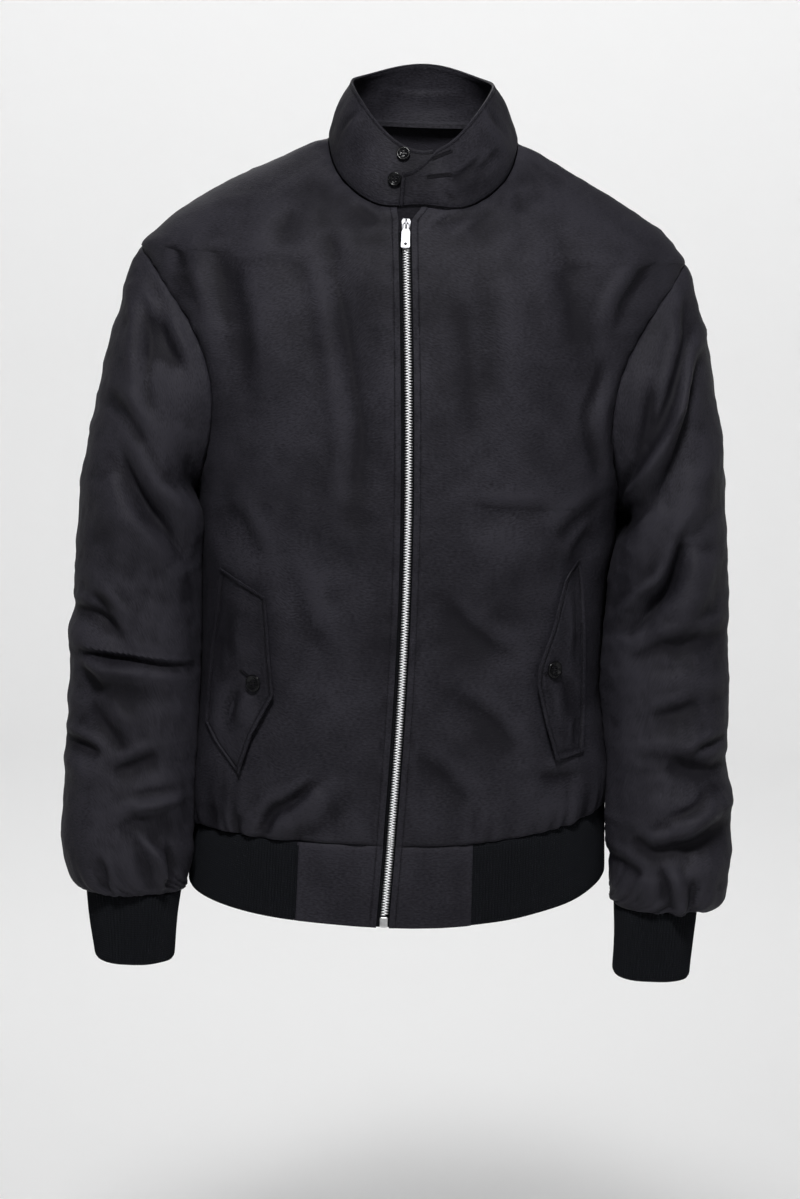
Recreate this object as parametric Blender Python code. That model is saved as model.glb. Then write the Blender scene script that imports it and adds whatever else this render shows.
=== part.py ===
"""Harrington jacket in its hollow worn form: cut cloth pieces, knitted rib, zip, flaps and buttons.

Metres, +Z up. The origin is midway between the two points where neck and shoulder meet.
The front faces -Y and the wearer's left side is +X. A bearing is an angle round the body:
0 at centre front, +90 degrees at the wearer's left side, 180 at centre back.
"""

import bpy
import bmesh
import numpy as np
from math import atan2, radians
from mathutils import Matrix, Vector

# Thicknesses and gaps
CLOTH = 0.0015
COLLAR_CLOTH = 0.0022
RIB_CLOTH = 0.0026
TAPE = 0.0008
SEAM = 0.0004
SHOULDER_SEAM = 0.0016
CLEAR = 0.0034

# Body of the jacket, one row per level: half widths at the wearer's right and left,
# depths to the front and back, and how square the ring is (2 is an ellipse)
#         level    right    left     front    back     squareness
BODY = [(-0.6200, 0.1950, 0.1900, 0.1415, 0.1140, 2.40),
        (-0.5750, 0.1950, 0.1910, 0.1420, 0.1150, 2.40),
        (-0.5450, 0.1930, 0.1910, 0.1415, 0.1150, 2.40),
        (-0.5000, 0.1890, 0.1820, 0.1400, 0.1130, 2.40),
        (-0.4700, 0.1870, 0.1755, 0.1390, 0.1120, 2.40),
        (-0.4000, 0.1870, 0.1780, 0.1380, 0.1120, 2.40),
        (-0.3050, 0.1910, 0.1860, 0.1360, 0.1140, 2.40),
        (-0.2200, 0.2090, 0.2050, 0.1300, 0.1160, 2.40),
        (-0.1570, 0.2290, 0.2240, 0.1215, 0.1140, 2.35),
        (-0.1200, 0.2410, 0.2330, 0.1140, 0.1110, 2.30),
        (-0.0910, 0.2460, 0.2355, 0.1050, 0.1065, 2.20),
        (-0.0770, 0.2340, 0.2265, 0.0985, 0.1045, 2.20),
        (-0.0630, 0.2195, 0.2130, 0.0905, 0.1015, 2.15),
        (-0.0500, 0.2015, 0.1925, 0.0810, 0.0990, 2.15),
        (-0.0360, 0.1785, 0.1690, 0.0665, 0.0955, 2.10),
        (-0.0220, 0.1515, 0.1430, 0.0490, 0.0910, 2.10),
        (-0.0120, 0.1295, 0.1248, 0.0360, 0.0875, 2.10),
        (-0.0030, 0.1115, 0.1085, 0.0230, 0.0835, 2.10),
        (0.0040, 0.0965, 0.0955, 0.0130, 0.0800, 2.10),
        (0.0080, 0.0840, 0.0840, 0.0090, 0.0780, 2.10),
        (0.0280, 0.0840, 0.0840, 0.0090, 0.0670, 2.10)]

# Hem: the seam's level in front, how far it rises to each side, and the lower edge
HEM = -0.597
HEM_RISE = {"right": -0.005, "left": 0.026}
EDGE = -0.669
EDGE_RISE = {"right": 0.008, "left": 0.030}
TUCK = 0.035
TUCK_RUN = 0.010
FLARE = 0.012
TAB_OUTER = {"right": -0.0930, "left": 0.0655}
TAB_DEPTH = 0.14

# Rows of the fronts and the back: the levels at the zip of the rows that start at the underarm
# and at the shoulder tip, how far the back's underarm row rises in its middle, the height over
# which rows come to follow the hem, and how much closer together they are near it
ZIP_AT_PIT = -0.300
ZIP_AT_TIP = -0.128
BACK_RISE = 0.010
HEM_FADE = 0.25
ROW_GROWTH = 1.35

# Neck seam: half width, its level as a sum of cosines of the angle round the neck, and the
# extra drop half way round each front
NECK_HALF = 0.084
NECK_WAVE = (-0.0026, -0.0353, -0.0106)
NECK_DROP = 0.0095

# Armholes: an ellipse in bearing and level
TIP = -0.091
PIT = -0.305
BITE_FRONT = radians(38)
BITE_BACK = radians(32)

# Zip: its line over the front, the gap between the front edges, and the widths of its parts
ZIP_X = -0.0125
ZIP_BOW = 0.0105
ZIP_TOP = -0.0711
GAP = {"right": 0.0065, "left": 0.0048}
NOTCH = {"right": 0.0020, "left": 0.0080}
NOTCH_RUN = 0.014
CHAIN_HALF = 0.0029
CHAIN_DEPTH = 0.0014
CHAIN_SINK = 0.0003
TAPE_HALF = 0.0130
TAPE_GAP = 0.0005
ZIP_FOOT = 0.0105
BOX = {"low": 0.0005, "high": 0.0101, "half": 0.0036, "lift": 0.0006, "deep": 0.0024}

# Sleeves, one row per ring from shoulder to cuff: level and reach of the outer side,
# level and reach of the inner side (right, left), then the ring's middle and half depth
#          level   right   left    level   right   left    middle   depth
SLEEVE = [(-0.1040, 0.2525, 0.2415, -0.312, 0.1950, 0.1900, 0.0000, 0.0980),
          (-0.1300, 0.2610, 0.2510, -0.325, 0.1905, 0.1865, -0.0005, 0.0965),
          (-0.1700, 0.2715, 0.2625, -0.345, 0.1860, 0.1830, -0.0015, 0.0935),
          (-0.2250, 0.2825, 0.2695, -0.372, 0.1830, 0.1790, -0.0035, 0.0895),
          (-0.2900, 0.2920, 0.2775, -0.405, 0.1820, 0.1770, -0.0070, 0.0840),
          (-0.3700, 0.2980, 0.2860, -0.450, 0.1820, 0.1760, -0.0140, 0.0770),
          (-0.4400, 0.3000, 0.2885, -0.500, 0.1830, 0.1790, -0.0220, 0.0710),
          (-0.5100, 0.3005, 0.2895, -0.550, 0.1835, 0.1820, -0.0320, 0.0660),
          (-0.5650, 0.3015, 0.2955, -0.595, 0.1850, 0.1845, -0.0410, 0.0620),
          (-0.6050, 0.3030, 0.2950, -0.625, 0.1880, 0.1880, -0.0470, 0.0590),
          (-0.6360, 0.2985, 0.2925, -0.641, 0.1910, 0.1900, -0.0510, 0.0545),
          (-0.6500, 0.2935, 0.2895, -0.649, 0.1920, 0.1915, -0.0525, 0.0500),
          (-0.6572, 0.2865, 0.2815, -0.6545, 0.1925, 0.1920, -0.0535, 0.0450),
          (-0.6590, 0.2800, 0.2690, -0.6592, 0.1935, 0.1930, -0.0540, 0.0395)]
# How square the rings are, and how square where the arm presses the sleeve against the body;
# the tilt of the seam's ridge below and above; the ridge's height, how far each station carries
# the armhole's own loop outwards, and how many stations it takes to turn into a round ring
SLEEVE_ROUND = 2.2
SLEEVE_PRESSED = 4.2
SLEEVE_TILT = (radians(22), radians(66))
SEAM_RIDGE = 0.003
SLEEVE_STRIDE = 0.012
SLEEVE_BLEND = 3.2
SLEEVE_FIRST = 0.6

# Cuffs: level, outer and inner reach (right, left), middle and half depth
CUFF = [(-0.6598, 0.2785, 0.2660, 0.1940, 0.1940, -0.0535, 0.0385),
        (-0.6900, 0.2740, 0.2650, 0.1965, 0.1940, -0.0565, 0.0365),
        (-0.7220, 0.2690, 0.2620, 0.2000, 0.1940, -0.0600, 0.0340)]

# Stand collar: top edge as a ring, where the strip starts and ends, and the lapping end
COLLAR_TOP = {"right": 0.0645, "left": 0.0600, "front": 0.0750, "back": 0.0660}
COLLAR_WAVE = (0.0480, -0.0341, -0.0100, -0.0059)
COLLAR_START = radians(8)
COLLAR_END = radians(-372)
COLLAR_BULGE = 0.0030
LAP_RAMP = radians(50)
LAP_LIFT = 0.0044
LAP_TAPER = radians(26)
LAP_HEIGHT = 0.55
COLLAR_BASE = 0.0011

# Pocket flaps, one row per station from top to bottom: outer and inner edge as (x, z)
FLAP = {"right": [(-0.1622, -0.3660, -0.1197, -0.3855), (-0.1695, -0.4276, -0.1157, -0.4225),
                  (-0.1723, -0.4726, -0.1110, -0.4700), (-0.1735, -0.5044, -0.1290, -0.5075),
                  (-0.1645, -0.5180, -0.1340, -0.5250), (-0.1440, -0.5400, -0.1395, -0.5420)],
        "left": [(0.1470, -0.3460, 0.1370, -0.3530), (0.1500, -0.3640, 0.1310, -0.3640),
                 (0.1545, -0.4070, 0.1222, -0.4070), (0.1560, -0.4400, 0.1115, -0.4400),
                 (0.1566, -0.4560, 0.1108, -0.4540), (0.1572, -0.4900, 0.1195, -0.4900),
                 (0.1560, -0.5170, 0.1293, -0.5205)]}
FLAP_LIFT = 0.0010

# Buttons: radius and thickness, and where they sit
POCKET_BUTTON = (0.0076, 0.0026)
COLLAR_BUTTON = (0.0060, 0.0024)
POCKET_BUTTON_AT = {"right": (-0.1302, -0.4606), "left": (0.1270, -0.4414)}
COLLAR_BUTTON_AT = {"upper": (-0.0190, 0.86), "lower": (-0.0232, 0.42)}
COLLAR_REACH = 0.078
BUTTON_LIFT = 0.0004

# Slider and pull, in their own frame: x across, y into the body, z up along the zip
SLIDER_LEVEL = -0.0655
SLIDER = {"top": 0.0056, "shoulder": 0.0030, "wide": 0.0043, "bottom": -0.0056, "narrow": 0.0034,
          "back": 0.0016, "front": -0.0022}
BAIL = {"half": 0.0009, "foot": 0.0046, "rise": 0.0032, "bar": 0.0011}
PULL = {"half": 0.0040, "neck": 0.0031, "length": 0.0245, "thick": 0.0011, "eye": 0.0019,
        "eye_length": 0.0066, "hole": 0.0011, "hole_at": -0.0207, "bar": 0.0006, "rise": 0.00105}

# Mesh counts
ARM_STEPS = 11
SLEEVE_STEPS = 16
SKIRT_STEPS = 8
SHOULDER_STEPS = 5
FRONT_STEPS = 12
BACK_STEPS = 18


def clear_scene():
    for item in list(bpy.data.objects):
        bpy.data.objects.remove(item, do_unlink=True)


def material(name, rgb, roughness, metallic=0.0):
    made = bpy.data.materials.new(name)
    made.use_nodes = True
    shader = made.node_tree.nodes["Principled BSDF"]
    shader.inputs["Base Color"].default_value = (*rgb, 1.0)
    shader.inputs["Roughness"].default_value = roughness
    shader.inputs["Metallic"].default_value = metallic
    made.diffuse_color = (*rgb, 1.0)
    return made


def through(knots, values, at):
    """Cubic through the knots that never overshoots them."""
    knots, values, at = (np.asarray(item, float) for item in (knots, values, at))
    step = np.diff(knots)
    chord = np.diff(values) / step
    before, after = chord[:-1], chord[1:]
    turning = before * after <= 0
    inner = np.where(turning, 0.0, 2 * before * after / np.where(turning, 1.0, before + after))
    slope = np.concatenate(([chord[0]], inner, [chord[-1]]))
    i = np.clip(np.searchsorted(knots, at) - 1, 0, len(step) - 1)
    t = np.clip((at - knots[i]) / step[i], 0.0, 1.0)
    rise = t * t * (3 - 2 * t)
    start = t * (1 - t) ** 2 * slope[i] * step[i]
    end = t * t * (1 - t) * slope[i + 1] * step[i]
    return values[i] * (1 - rise) + values[i + 1] * rise + start - end


def ease(t):
    t = np.clip(t, 0.0, 1.0)
    return t * t * (3 - 2 * t)


def ring(bearing, level):
    """Half width, depth and squareness of the body where a bearing and a level meet."""
    levels, right, left, front, back, squareness = np.array(BODY).T
    half = np.where(np.sin(bearing) > 0, through(levels, left, level), through(levels, right, level))
    ahead = np.cos(bearing) > 0
    depth = np.where(ahead, through(levels, front, level), through(levels, back, level))
    return half, depth, through(levels, squareness, level)


def sided(bearing, rise):
    """A height that grows with the square of the sine towards each side."""
    side = np.sin(bearing)
    return np.where(side > 0, rise["left"], rise["right"]) * side ** 2


def hem_level(bearing):
    return HEM + sided(bearing, HEM_RISE)


def edge_level(bearing):
    return EDGE + sided(bearing, EDGE_RISE)


def body(bearing, level):
    """Point of the jacket's outer surface: a rounded ring, drawn in just above the hem seam."""
    half, depth, n = ring(bearing, level)
    s, c = np.sin(bearing), np.cos(bearing)
    size = (np.abs(s) ** n + np.abs(c) ** n) ** (-1 / n)
    above = np.maximum(level - hem_level(bearing), 0.0)
    size = size * (1 - TUCK * np.exp(-above / TUCK_RUN))
    return np.stack([half * s * size, -depth * c * size, level + 0 * s], -1)


def band(bearing, down):
    """Point of the hem band: down is 0 at the seam and 1 at the lower edge."""
    top = body(bearing, hem_level(bearing))
    spread = 1 + FLARE * down
    level = hem_level(bearing) * (1 - down) + edge_level(bearing) * down
    return np.stack([top[..., 0] * spread, top[..., 1] * spread, level], -1)


def bearing_of(x, level, behind=False):
    """The bearing where the ring at a level has a given x."""
    x, level = np.broadcast_arrays(np.asarray(x, float), np.asarray(level, float))
    half, _, n = ring(np.sign(x) * 0.5, level)
    s = np.clip(np.abs(x) / half, 0.0, 1.0)
    c = (1 - s ** n) ** (1 / n)
    return np.arctan2(np.where(x < 0, -s, s), -c if behind else c)


def front(x, level):
    """Point of the front, or of the hem band below the seam, at a given x and level."""
    x, level = np.broadcast_arrays(np.asarray(x, float), np.asarray(level, float))
    turn = bearing_of(x, np.maximum(level, HEM))
    seam, edge = hem_level(turn), edge_level(turn)
    down = np.clip((seam - level) / (seam - edge), 0.0, 1.2)
    return np.where((level < seam)[..., None], band(turn, down), body(turn, np.maximum(level, seam)))


def lifted(surface, u, v, lift):
    """A surface moved out along its own normal."""
    step = 0.002
    across = surface(u + step, v) - surface(u - step, v)
    along = surface(u, v + step) - surface(u, v - step)
    normal = np.cross(across, along)
    normal /= np.linalg.norm(normal, axis=-1, keepdims=True)
    return surface(u, v) + lift * normal


def zip_x(level):
    t = np.clip((level - ZIP_TOP) / (EDGE - ZIP_TOP), 0.0, 1.0)
    return ZIP_X + ZIP_BOW * np.sin(np.pi * t)


def neck_level(turn):
    waves = [weight * np.cos(n * turn) for n, weight in enumerate(NECK_WAVE)]
    drop = NECK_DROP * (1 - np.cos(2 * turn) ** 4)
    return sum(waves) - np.where(np.cos(turn) > 0, drop, 0.0)


def neck(turn):
    """The neck seam at an angle round the neck."""
    turn = np.asarray(turn, float)
    level = neck_level(turn)
    x = NECK_HALF * np.sin(turn)
    bearing = np.where(np.cos(turn) > 0, bearing_of(x, level), bearing_of(x, level, True))
    return bearing, level


def armhole(angle, side):
    """Bearing and level round an armhole: 0 at the shoulder tip, 180 at the underarm."""
    level = (TIP + PIT) / 2 + (TIP - PIT) / 2 * np.cos(angle)
    bite = np.where(np.sin(angle) > 0, BITE_FRONT, BITE_BACK)
    return side * (np.pi / 2 - bite * np.sin(angle)), level


def arm_angles():
    """Stations of an armhole from the tip to the underarm: between even angles and even levels."""
    t = np.linspace(0, 1, ARM_STEPS + 1)
    return (np.pi * t + np.arccos(1 - 2 * t)) / 2


def arm_loop():
    """Stations all round an armhole: down the front and back up behind."""
    angle = arm_angles()
    return np.concatenate((angle, 2 * np.pi - angle[-2:0:-1]))


def side_levels(side_name):
    """Levels of the rows down a side: hem to underarm, up the armhole, along the shoulder."""
    sign = 1 if side_name == "left" else -1
    low = float(hem_level(np.array(sign * np.pi / 2)))
    rise = np.linspace(0, 1, SKIRT_STEPS + 1)[:-1] ** ROW_GROWTH
    skirt = low + SEAM + (PIT - low - SEAM) * rise
    arm = armhole(arm_angles()[::-1], 1)[1]
    shoulder = np.linspace(TIP, neck_level(np.pi / 2), SHOULDER_STEPS + 1)[1:]
    return np.concatenate((skirt, arm, shoulder))


def panel_rows(side_name):
    """For each row of a panel: its level at the side, how far round the front and the back
    reach there, and how near the row is to the neck."""
    levels = side_levels(side_name)
    ahead = np.full(len(levels), np.pi / 2)
    behind = ahead.copy()
    arm = slice(SKIRT_STEPS, SKIRT_STEPS + ARM_STEPS + 1)
    angle = arm_angles()[::-1]
    ahead[arm] = armhole(angle, 1)[0]
    behind[arm] = armhole(-angle, 1)[0]
    nearness = ease((np.arange(len(levels)) - SKIRT_STEPS) / (len(levels) - 1 - SKIRT_STEPS))
    return levels, ahead, behind, nearness


def seam_turn(levels, facing):
    """Bearing that leaves half a seam's gap beside a side or shoulder seam."""
    depth = ring(np.full(len(levels), facing), levels)[1]
    beside = np.where(levels < PIT + SEAM, SEAM, np.where(levels < TIP - SEAM, 0.0, SHOULDER_SEAM))
    return beside / 2 / depth


def spread(values, count):
    return values[:, None] * np.ones(count)[None, :]


def front_turns(side_name):
    """Angles round the neck where the columns of a front end, out from the zip."""
    sign = 1 if side_name == "left" else -1
    start = np.arcsin((ZIP_X + sign * (GAP[side_name] + NOTCH[side_name])) / NECK_HALF)
    return np.linspace(start, sign * np.pi / 2, FRONT_STEPS + 1)


def back_turns():
    """Angles round the neck where the columns of the back end, from left to right."""
    return np.linspace(np.pi / 2, 3 * np.pi / 2, BACK_STEPS + 1)


def front_grid(side_name):
    """Outer surface of one front, rows up from the hem and columns out from the zip."""
    sign = 1 if side_name == "left" else -1
    levels, out, _, nearness = panel_rows(side_name)
    u = np.linspace(0, 1, FRONT_STEPS + 1)
    top_bearing, top_level = neck(front_turns(side_name))
    share = (top_level - top_level[0]) / (top_level[-1] - top_level[0])
    above = ease((levels - TIP) / (levels[-1] - TIP))[:, None]
    share = share[None, :] * above + (u * (2 - u))[None, :] * (1 - above)
    inner = through([levels[0], PIT, TIP, levels[-1]],
                    [HEM + SEAM, ZIP_AT_PIT, ZIP_AT_TIP, top_level[0]], levels)
    level = inner[:, None] + (levels - inner)[:, None] * share
    notch = NOTCH[side_name] * ease(1 - (top_level[0] - inner) / NOTCH_RUN)
    edge = zip_x(inner) + sign * (GAP[side_name] + notch)
    first = bearing_of(edge, inner)
    near = nearness[:, None]
    at_neck = (top_bearing - top_bearing[0]) / (top_bearing[-1] - top_bearing[0])
    part = u[None, :] * (1 - near) + at_neck[None, :] * near
    bearing = first[:, None] + (sign * out - first)[:, None] * part
    bearing[:, -1] -= sign * seam_turn(levels, 0.0)
    low = hem_level(bearing[0]) + SEAM
    level = level + (low - level[0])[None, :] * ease(1 - (level - level[0]) / HEM_FADE)
    return body(bearing, level)


def back_grid():
    """Outer surface of the back, rows up from the hem and columns round from left to right."""
    left, _, out_left, nearness = panel_rows("left")
    right, _, out_right, _ = panel_rows("right")
    u = np.linspace(0, 1, BACK_STEPS + 1)
    top_bearing, top_level = neck(back_turns())
    top_bearing = np.where(top_bearing < 0, top_bearing + 2 * np.pi, top_bearing)
    first, last = out_left, 2 * np.pi - out_right
    near = nearness[:, None]
    at_neck = (top_bearing - top_bearing[0]) / (top_bearing[-1] - top_bearing[0])
    part = u[None, :] * (1 - near) + at_neck[None, :] * near
    bearing = first[:, None] + (last - first)[:, None] * part
    bearing[:, 0] += seam_turn(left, np.pi)
    bearing[:, -1] -= seam_turn(right, np.pi)
    level = left[:, None] + (right - left)[:, None] * u[None, :]
    middle = through([left[0], PIT, TIP, left[-1]], [0.0, BACK_RISE, 0.0, 0.0], left)
    lift = middle[:, None] * np.sin(np.pi * u)[None, :] * (1 - near)
    level = level + lift + (top_level - left[-1])[None, :] * near
    low = hem_level(bearing[0]) + SEAM
    level = level + (low - level[0])[None, :] * ease(1 - (level - level[0]) / HEM_FADE)
    return body(bearing, level)


def superring(angle, n):
    """Cosine and sine of a rounded ring: n is 2 for an ellipse, and higher for a squarer one."""
    c, s = np.cos(angle), np.sin(angle)
    size = (np.abs(c) ** n + np.abs(s) ** n) ** (-1 / n)
    return c * size, s * size


def sleeve_grid(side_name):
    """Outer surface of a sleeve, rings down from the armhole, first the short seam ridge."""
    sign = 1 if side_name == "left" else -1
    pick = (2, 5) if side_name == "left" else (1, 4)
    rows = np.array(SLEEVE)
    angle = arm_loop()
    bearing, level = armhole(angle, sign)
    loop = body(bearing, level)
    tilt = SLEEVE_TILT[0] + (SLEEVE_TILT[1] - SLEEVE_TILT[0]) * np.maximum(np.cos(angle), 0) ** 2
    away = np.stack([sign * np.cos(tilt), 0 * tilt, -np.sin(tilt)], -1)
    rings = [loop + SEAM * away, loop + SEAM_RIDGE * away]
    station = np.arange(len(rows))
    pressed = (np.cos(angle) < 0) & (np.sin(angle) < 0)
    c, s = superring(angle, np.where(pressed, SLEEVE_PRESSED, SLEEVE_ROUND))
    for at in np.linspace(SLEEVE_FIRST, len(rows) - 1, SLEEVE_STEPS):
        outer_level, outer, inner_level, inner, middle, depth = (
            float(through(station, rows[:, column], at))
            for column in (0, pick[0], 3, pick[1], 6, 7))
        x = sign * ((outer + inner) / 2 + (outer - inner) / 2 * c)
        z = (outer_level + inner_level) / 2 + (outer_level - inner_level) / 2 * c
        section = np.stack([x, middle - depth * s, z], -1)
        blend = float(ease(at / SLEEVE_BLEND))
        carried = loop + (SEAM_RIDGE + SLEEVE_STRIDE * at) * away
        point = carried * (1 - blend) + section * blend
        rings.append(keep_clear(point, sign, CLEAR * blend))
    return np.array(rings)


def keep_clear(point, sign, clear):
    """Points moved sideways until they clear the body by a given distance."""
    level = np.minimum(point[:, 2], TIP)
    facing = np.where(point[:, 1] < 0, 0.0, np.pi)
    half, _, n = ring(0 * level + sign * np.pi / 2, level)
    depth = ring(facing, level)[1]
    reach = half * np.maximum(1 - (np.abs(point[:, 1]) / depth) ** n, 0.0) ** (1 / n)
    return np.stack([sign * np.maximum(np.abs(point[:, 0]), reach + clear), point[:, 1], point[:, 2]], -1)


def cuff_grid(side_name):
    """Outer surface of a cuff, rows down from the sleeve."""
    sign = 1 if side_name == "left" else -1
    pick = (2, 4) if side_name == "left" else (1, 3)
    rows = np.array(CUFF)
    angle = arm_loop()
    c, s = superring(angle, SLEEVE_ROUND)
    rings = []
    for row in rows:
        outer, inner = row[pick[0]], row[pick[1]]
        x = sign * ((outer + inner) / 2 + (outer - inner) / 2 * c)
        rings.append(np.stack([x, row[5] - row[6] * s, row[0] + 0 * c], -1))
    return np.array(rings)


def collar(turn, height):
    """Point of the collar's outer face: turn runs round the neck, height from seam to top edge."""
    bearing, level = neck(turn)
    base = body(bearing, level)
    base[..., 2] += COLLAR_BASE
    s, c = np.sin(turn), np.cos(turn)
    reach = np.where(s > 0, COLLAR_TOP["left"], COLLAR_TOP["right"])
    depth = np.where(c > 0, COLLAR_TOP["front"], COLLAR_TOP["back"])
    rim = sum(weight * np.cos(n * turn) for n, weight in enumerate(COLLAR_WAVE))
    top = np.stack([reach * s, -depth * c, rim], -1)
    ending = ease((COLLAR_END + LAP_TAPER - turn) / LAP_TAPER)
    height = height * (1 - (1 - LAP_HEIGHT) * ending)
    outward = np.stack([s, -c, 0 * s], -1)
    lap = LAP_LIFT * ease((COLLAR_END + LAP_RAMP - turn) / (LAP_RAMP * 0.6))
    swell = lap + COLLAR_BULGE * 4 * height * (1 - height)
    t = height[..., None]
    return base * (1 - t) + top * t + outward * swell[..., None]


def collar_grid(up=4):
    """Rows up the collar; its columns meet those of the fronts and the back at the neck."""
    full = 2 * np.pi
    right, left = front_turns("right"), front_turns("left") - full
    back = back_turns()[::-1] - full
    under = np.linspace(COLLAR_START, right[0], 4)
    lap = np.linspace(left[0], COLLAR_END, 4)
    turn = np.concatenate((under[:-1], right[:-1], back[:-1], left[::-1], lap[1:]))
    height = np.linspace(0, 1, up + 1)
    return collar(*np.broadcast_arrays(turn[None, :], height[:, None]))


def strip_grid(inner, outer, levels, lift, columns):
    """Strip over the front between two offsets from the zip's line."""
    t = np.linspace(0, 1, columns + 1)
    x = zip_x(levels)[:, None] + (inner + (outer - inner) * t)[None, :]
    return lifted(front, x, spread(levels, columns + 1), lift)


def zip_levels():
    """Levels that follow the rows of the fronts, from the hem's edge to the slider."""
    low = EDGE + ZIP_FOOT
    hem = np.array([low, (low + HEM) / 2, HEM])
    levels = side_levels("right")[:SKIRT_STEPS + ARM_STEPS + 1]
    inner = through([levels[0], PIT, TIP], [HEM + SEAM, ZIP_AT_PIT, ZIP_AT_TIP], levels)
    return np.concatenate((hem, inner[1:-1], [(ZIP_AT_TIP + ZIP_TOP) / 2, ZIP_TOP]))


def flap_grid(side_name, columns=6, between=2):
    """Outer surface of a pocket flap, lying on its front: rows down the table's stations."""
    rows = np.array(FLAP[side_name])
    station = np.arange(len(rows))
    at = np.linspace(0, len(rows) - 1, (len(rows) - 1) * between + 1)
    outer_x, outer_z, inner_x, inner_z = (np.interp(at, station, rows[:, n]) for n in range(4))
    t = np.linspace(0, 1, columns + 1)[None, :]
    x = outer_x[:, None] * (1 - t) + inner_x[:, None] * t
    z = outer_z[:, None] * (1 - t) + inner_z[:, None] * t
    return lifted(front, x, z, FLAP_LIFT + CLOTH)


def sheet(name, grid, thickness, finish, closed=False, flip=False):
    """Closed solid from a grid of points on the outer face and a thickness going inwards."""
    rows, columns = grid.shape[:2]
    index = np.arange(rows * columns).reshape(rows, columns)
    if closed:
        index = np.concatenate((index, index[:, :1]), 1)
    quads = np.stack([index[:-1, :-1], index[:-1, 1:], index[1:, 1:], index[1:, :-1]], -1)
    quads = quads.reshape(-1, 4)
    if flip:
        quads = quads[:, ::-1]
    mesh = bpy.data.meshes.new(name)
    mesh.from_pydata(grid.reshape(-1, 3).tolist(), [], quads.tolist())
    mesh.shade_smooth()
    piece = place(name, mesh, finish)
    wall = piece.modifiers.new("thickness", "SOLIDIFY")
    wall.thickness = thickness
    wall.offset = -1.0
    return piece


def place(name, mesh, finish):
    piece = bpy.data.objects.new(name, mesh)
    bpy.context.scene.collection.objects.link(piece)
    mesh.materials.append(finish)
    return piece


def disc(name, radius, thick, at, outward, finish):
    """Button: a short round plate with its back face at a point of the cloth."""
    mesh = bpy.data.meshes.new(name)
    model = bmesh.new()
    bmesh.ops.create_cone(model, cap_ends=True, segments=20, radius1=radius, radius2=radius,
                          depth=thick)
    model.to_mesh(mesh)
    model.free()
    piece = place(name, mesh, finish)
    outward = Vector(outward).normalized()
    piece.rotation_euler = outward.to_track_quat("Z", "Y").to_euler()
    piece.location = Vector(at) + outward * (thick / 2 + BUTTON_LIFT)
    soften(piece, 0.0004)
    return piece


def soften(piece, width, segments=1):
    edge = piece.modifiers.new("soft edge", "BEVEL")
    edge.width = width
    edge.segments = segments
    edge.limit_method = "ANGLE"


def prism(name, outline, low, high, axis, finish):
    """Outline extruded along an axis: points are (x, z) along y, or (y, z) along x."""
    mesh = bpy.data.meshes.new(name)
    model = bmesh.new()
    place_on = {"y": lambda a, b: (a, low, b), "x": lambda a, b: (low, a, b)}[axis]
    face = model.faces.new([model.verts.new(place_on(a, b)) for a, b in outline])
    sweep = bmesh.ops.extrude_face_region(model, geom=[face])
    corners = [item for item in sweep["geom"] if isinstance(item, bmesh.types.BMVert)]
    offset = (0, high - low, 0) if axis == "y" else (high - low, 0, 0)
    bmesh.ops.translate(model, verts=corners, vec=offset)
    bmesh.ops.recalc_face_normals(model, faces=model.faces)
    model.to_mesh(mesh)
    model.free()
    return place(name, mesh, finish)


def helper(piece):
    piece.hide_render = True
    piece.display_type = "WIRE"
    return piece


def combine(piece, other, how):
    joined = piece.modifiers.new(how.lower(), "BOOLEAN")
    joined.operation = how
    joined.object = helper(other)


def slider_frame():
    """Place of the slider: on the zip, tilted to lie along it."""
    x = float(zip_x(np.array(SLIDER_LEVEL)))
    at = front(x, SLIDER_LEVEL)
    below, above = front(x, SLIDER_LEVEL - 0.02), front(x, SLIDER_LEVEL + 0.001)
    slope = atan2(above[1] - below[1], above[2] - below[2])
    return Matrix.Translation(Vector(at)) @ Matrix.Rotation(-slope, 4, "X")


def make_slider(metal):
    """Slider: a waisted plate with an arched bail standing on it. Returns its place."""
    s = SLIDER
    outline = [(-s["shoulder"], s["top"]), (-s["wide"], s["shoulder"]), (-s["narrow"], s["bottom"]),
               (s["narrow"], s["bottom"]), (s["wide"], s["shoulder"]), (s["shoulder"], s["top"])]
    frame = slider_frame()
    plate = prism("zip_slider", outline, s["front"], s["back"], "y", metal)
    b = BAIL
    face = s["front"]
    arch = [(face + 0.0008, b["foot"]), (face - b["rise"] * 0.7, b["foot"]),
            (face - b["rise"], b["foot"] * 0.6), (face - b["rise"], -b["foot"] * 0.6),
            (face - b["rise"] * 0.7, -b["foot"]), (face + 0.0008, -b["foot"]),
            (face + 0.0008, -b["foot"] + b["bar"]), (face - b["rise"] * 0.55, -b["foot"] + b["bar"]),
            (face - b["rise"] + b["bar"], -b["foot"] * 0.5), (face - b["rise"] + b["bar"], b["foot"] * 0.5),
            (face - b["rise"] * 0.55, b["foot"] - b["bar"]), (face + 0.0008, b["foot"] - b["bar"])]
    bail = prism("bail_guide", arch, -b["half"], b["half"], "x", metal)
    combine(plate, bail, "UNION")
    plate.matrix_world = frame
    bail.matrix_world = frame
    return frame


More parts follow.
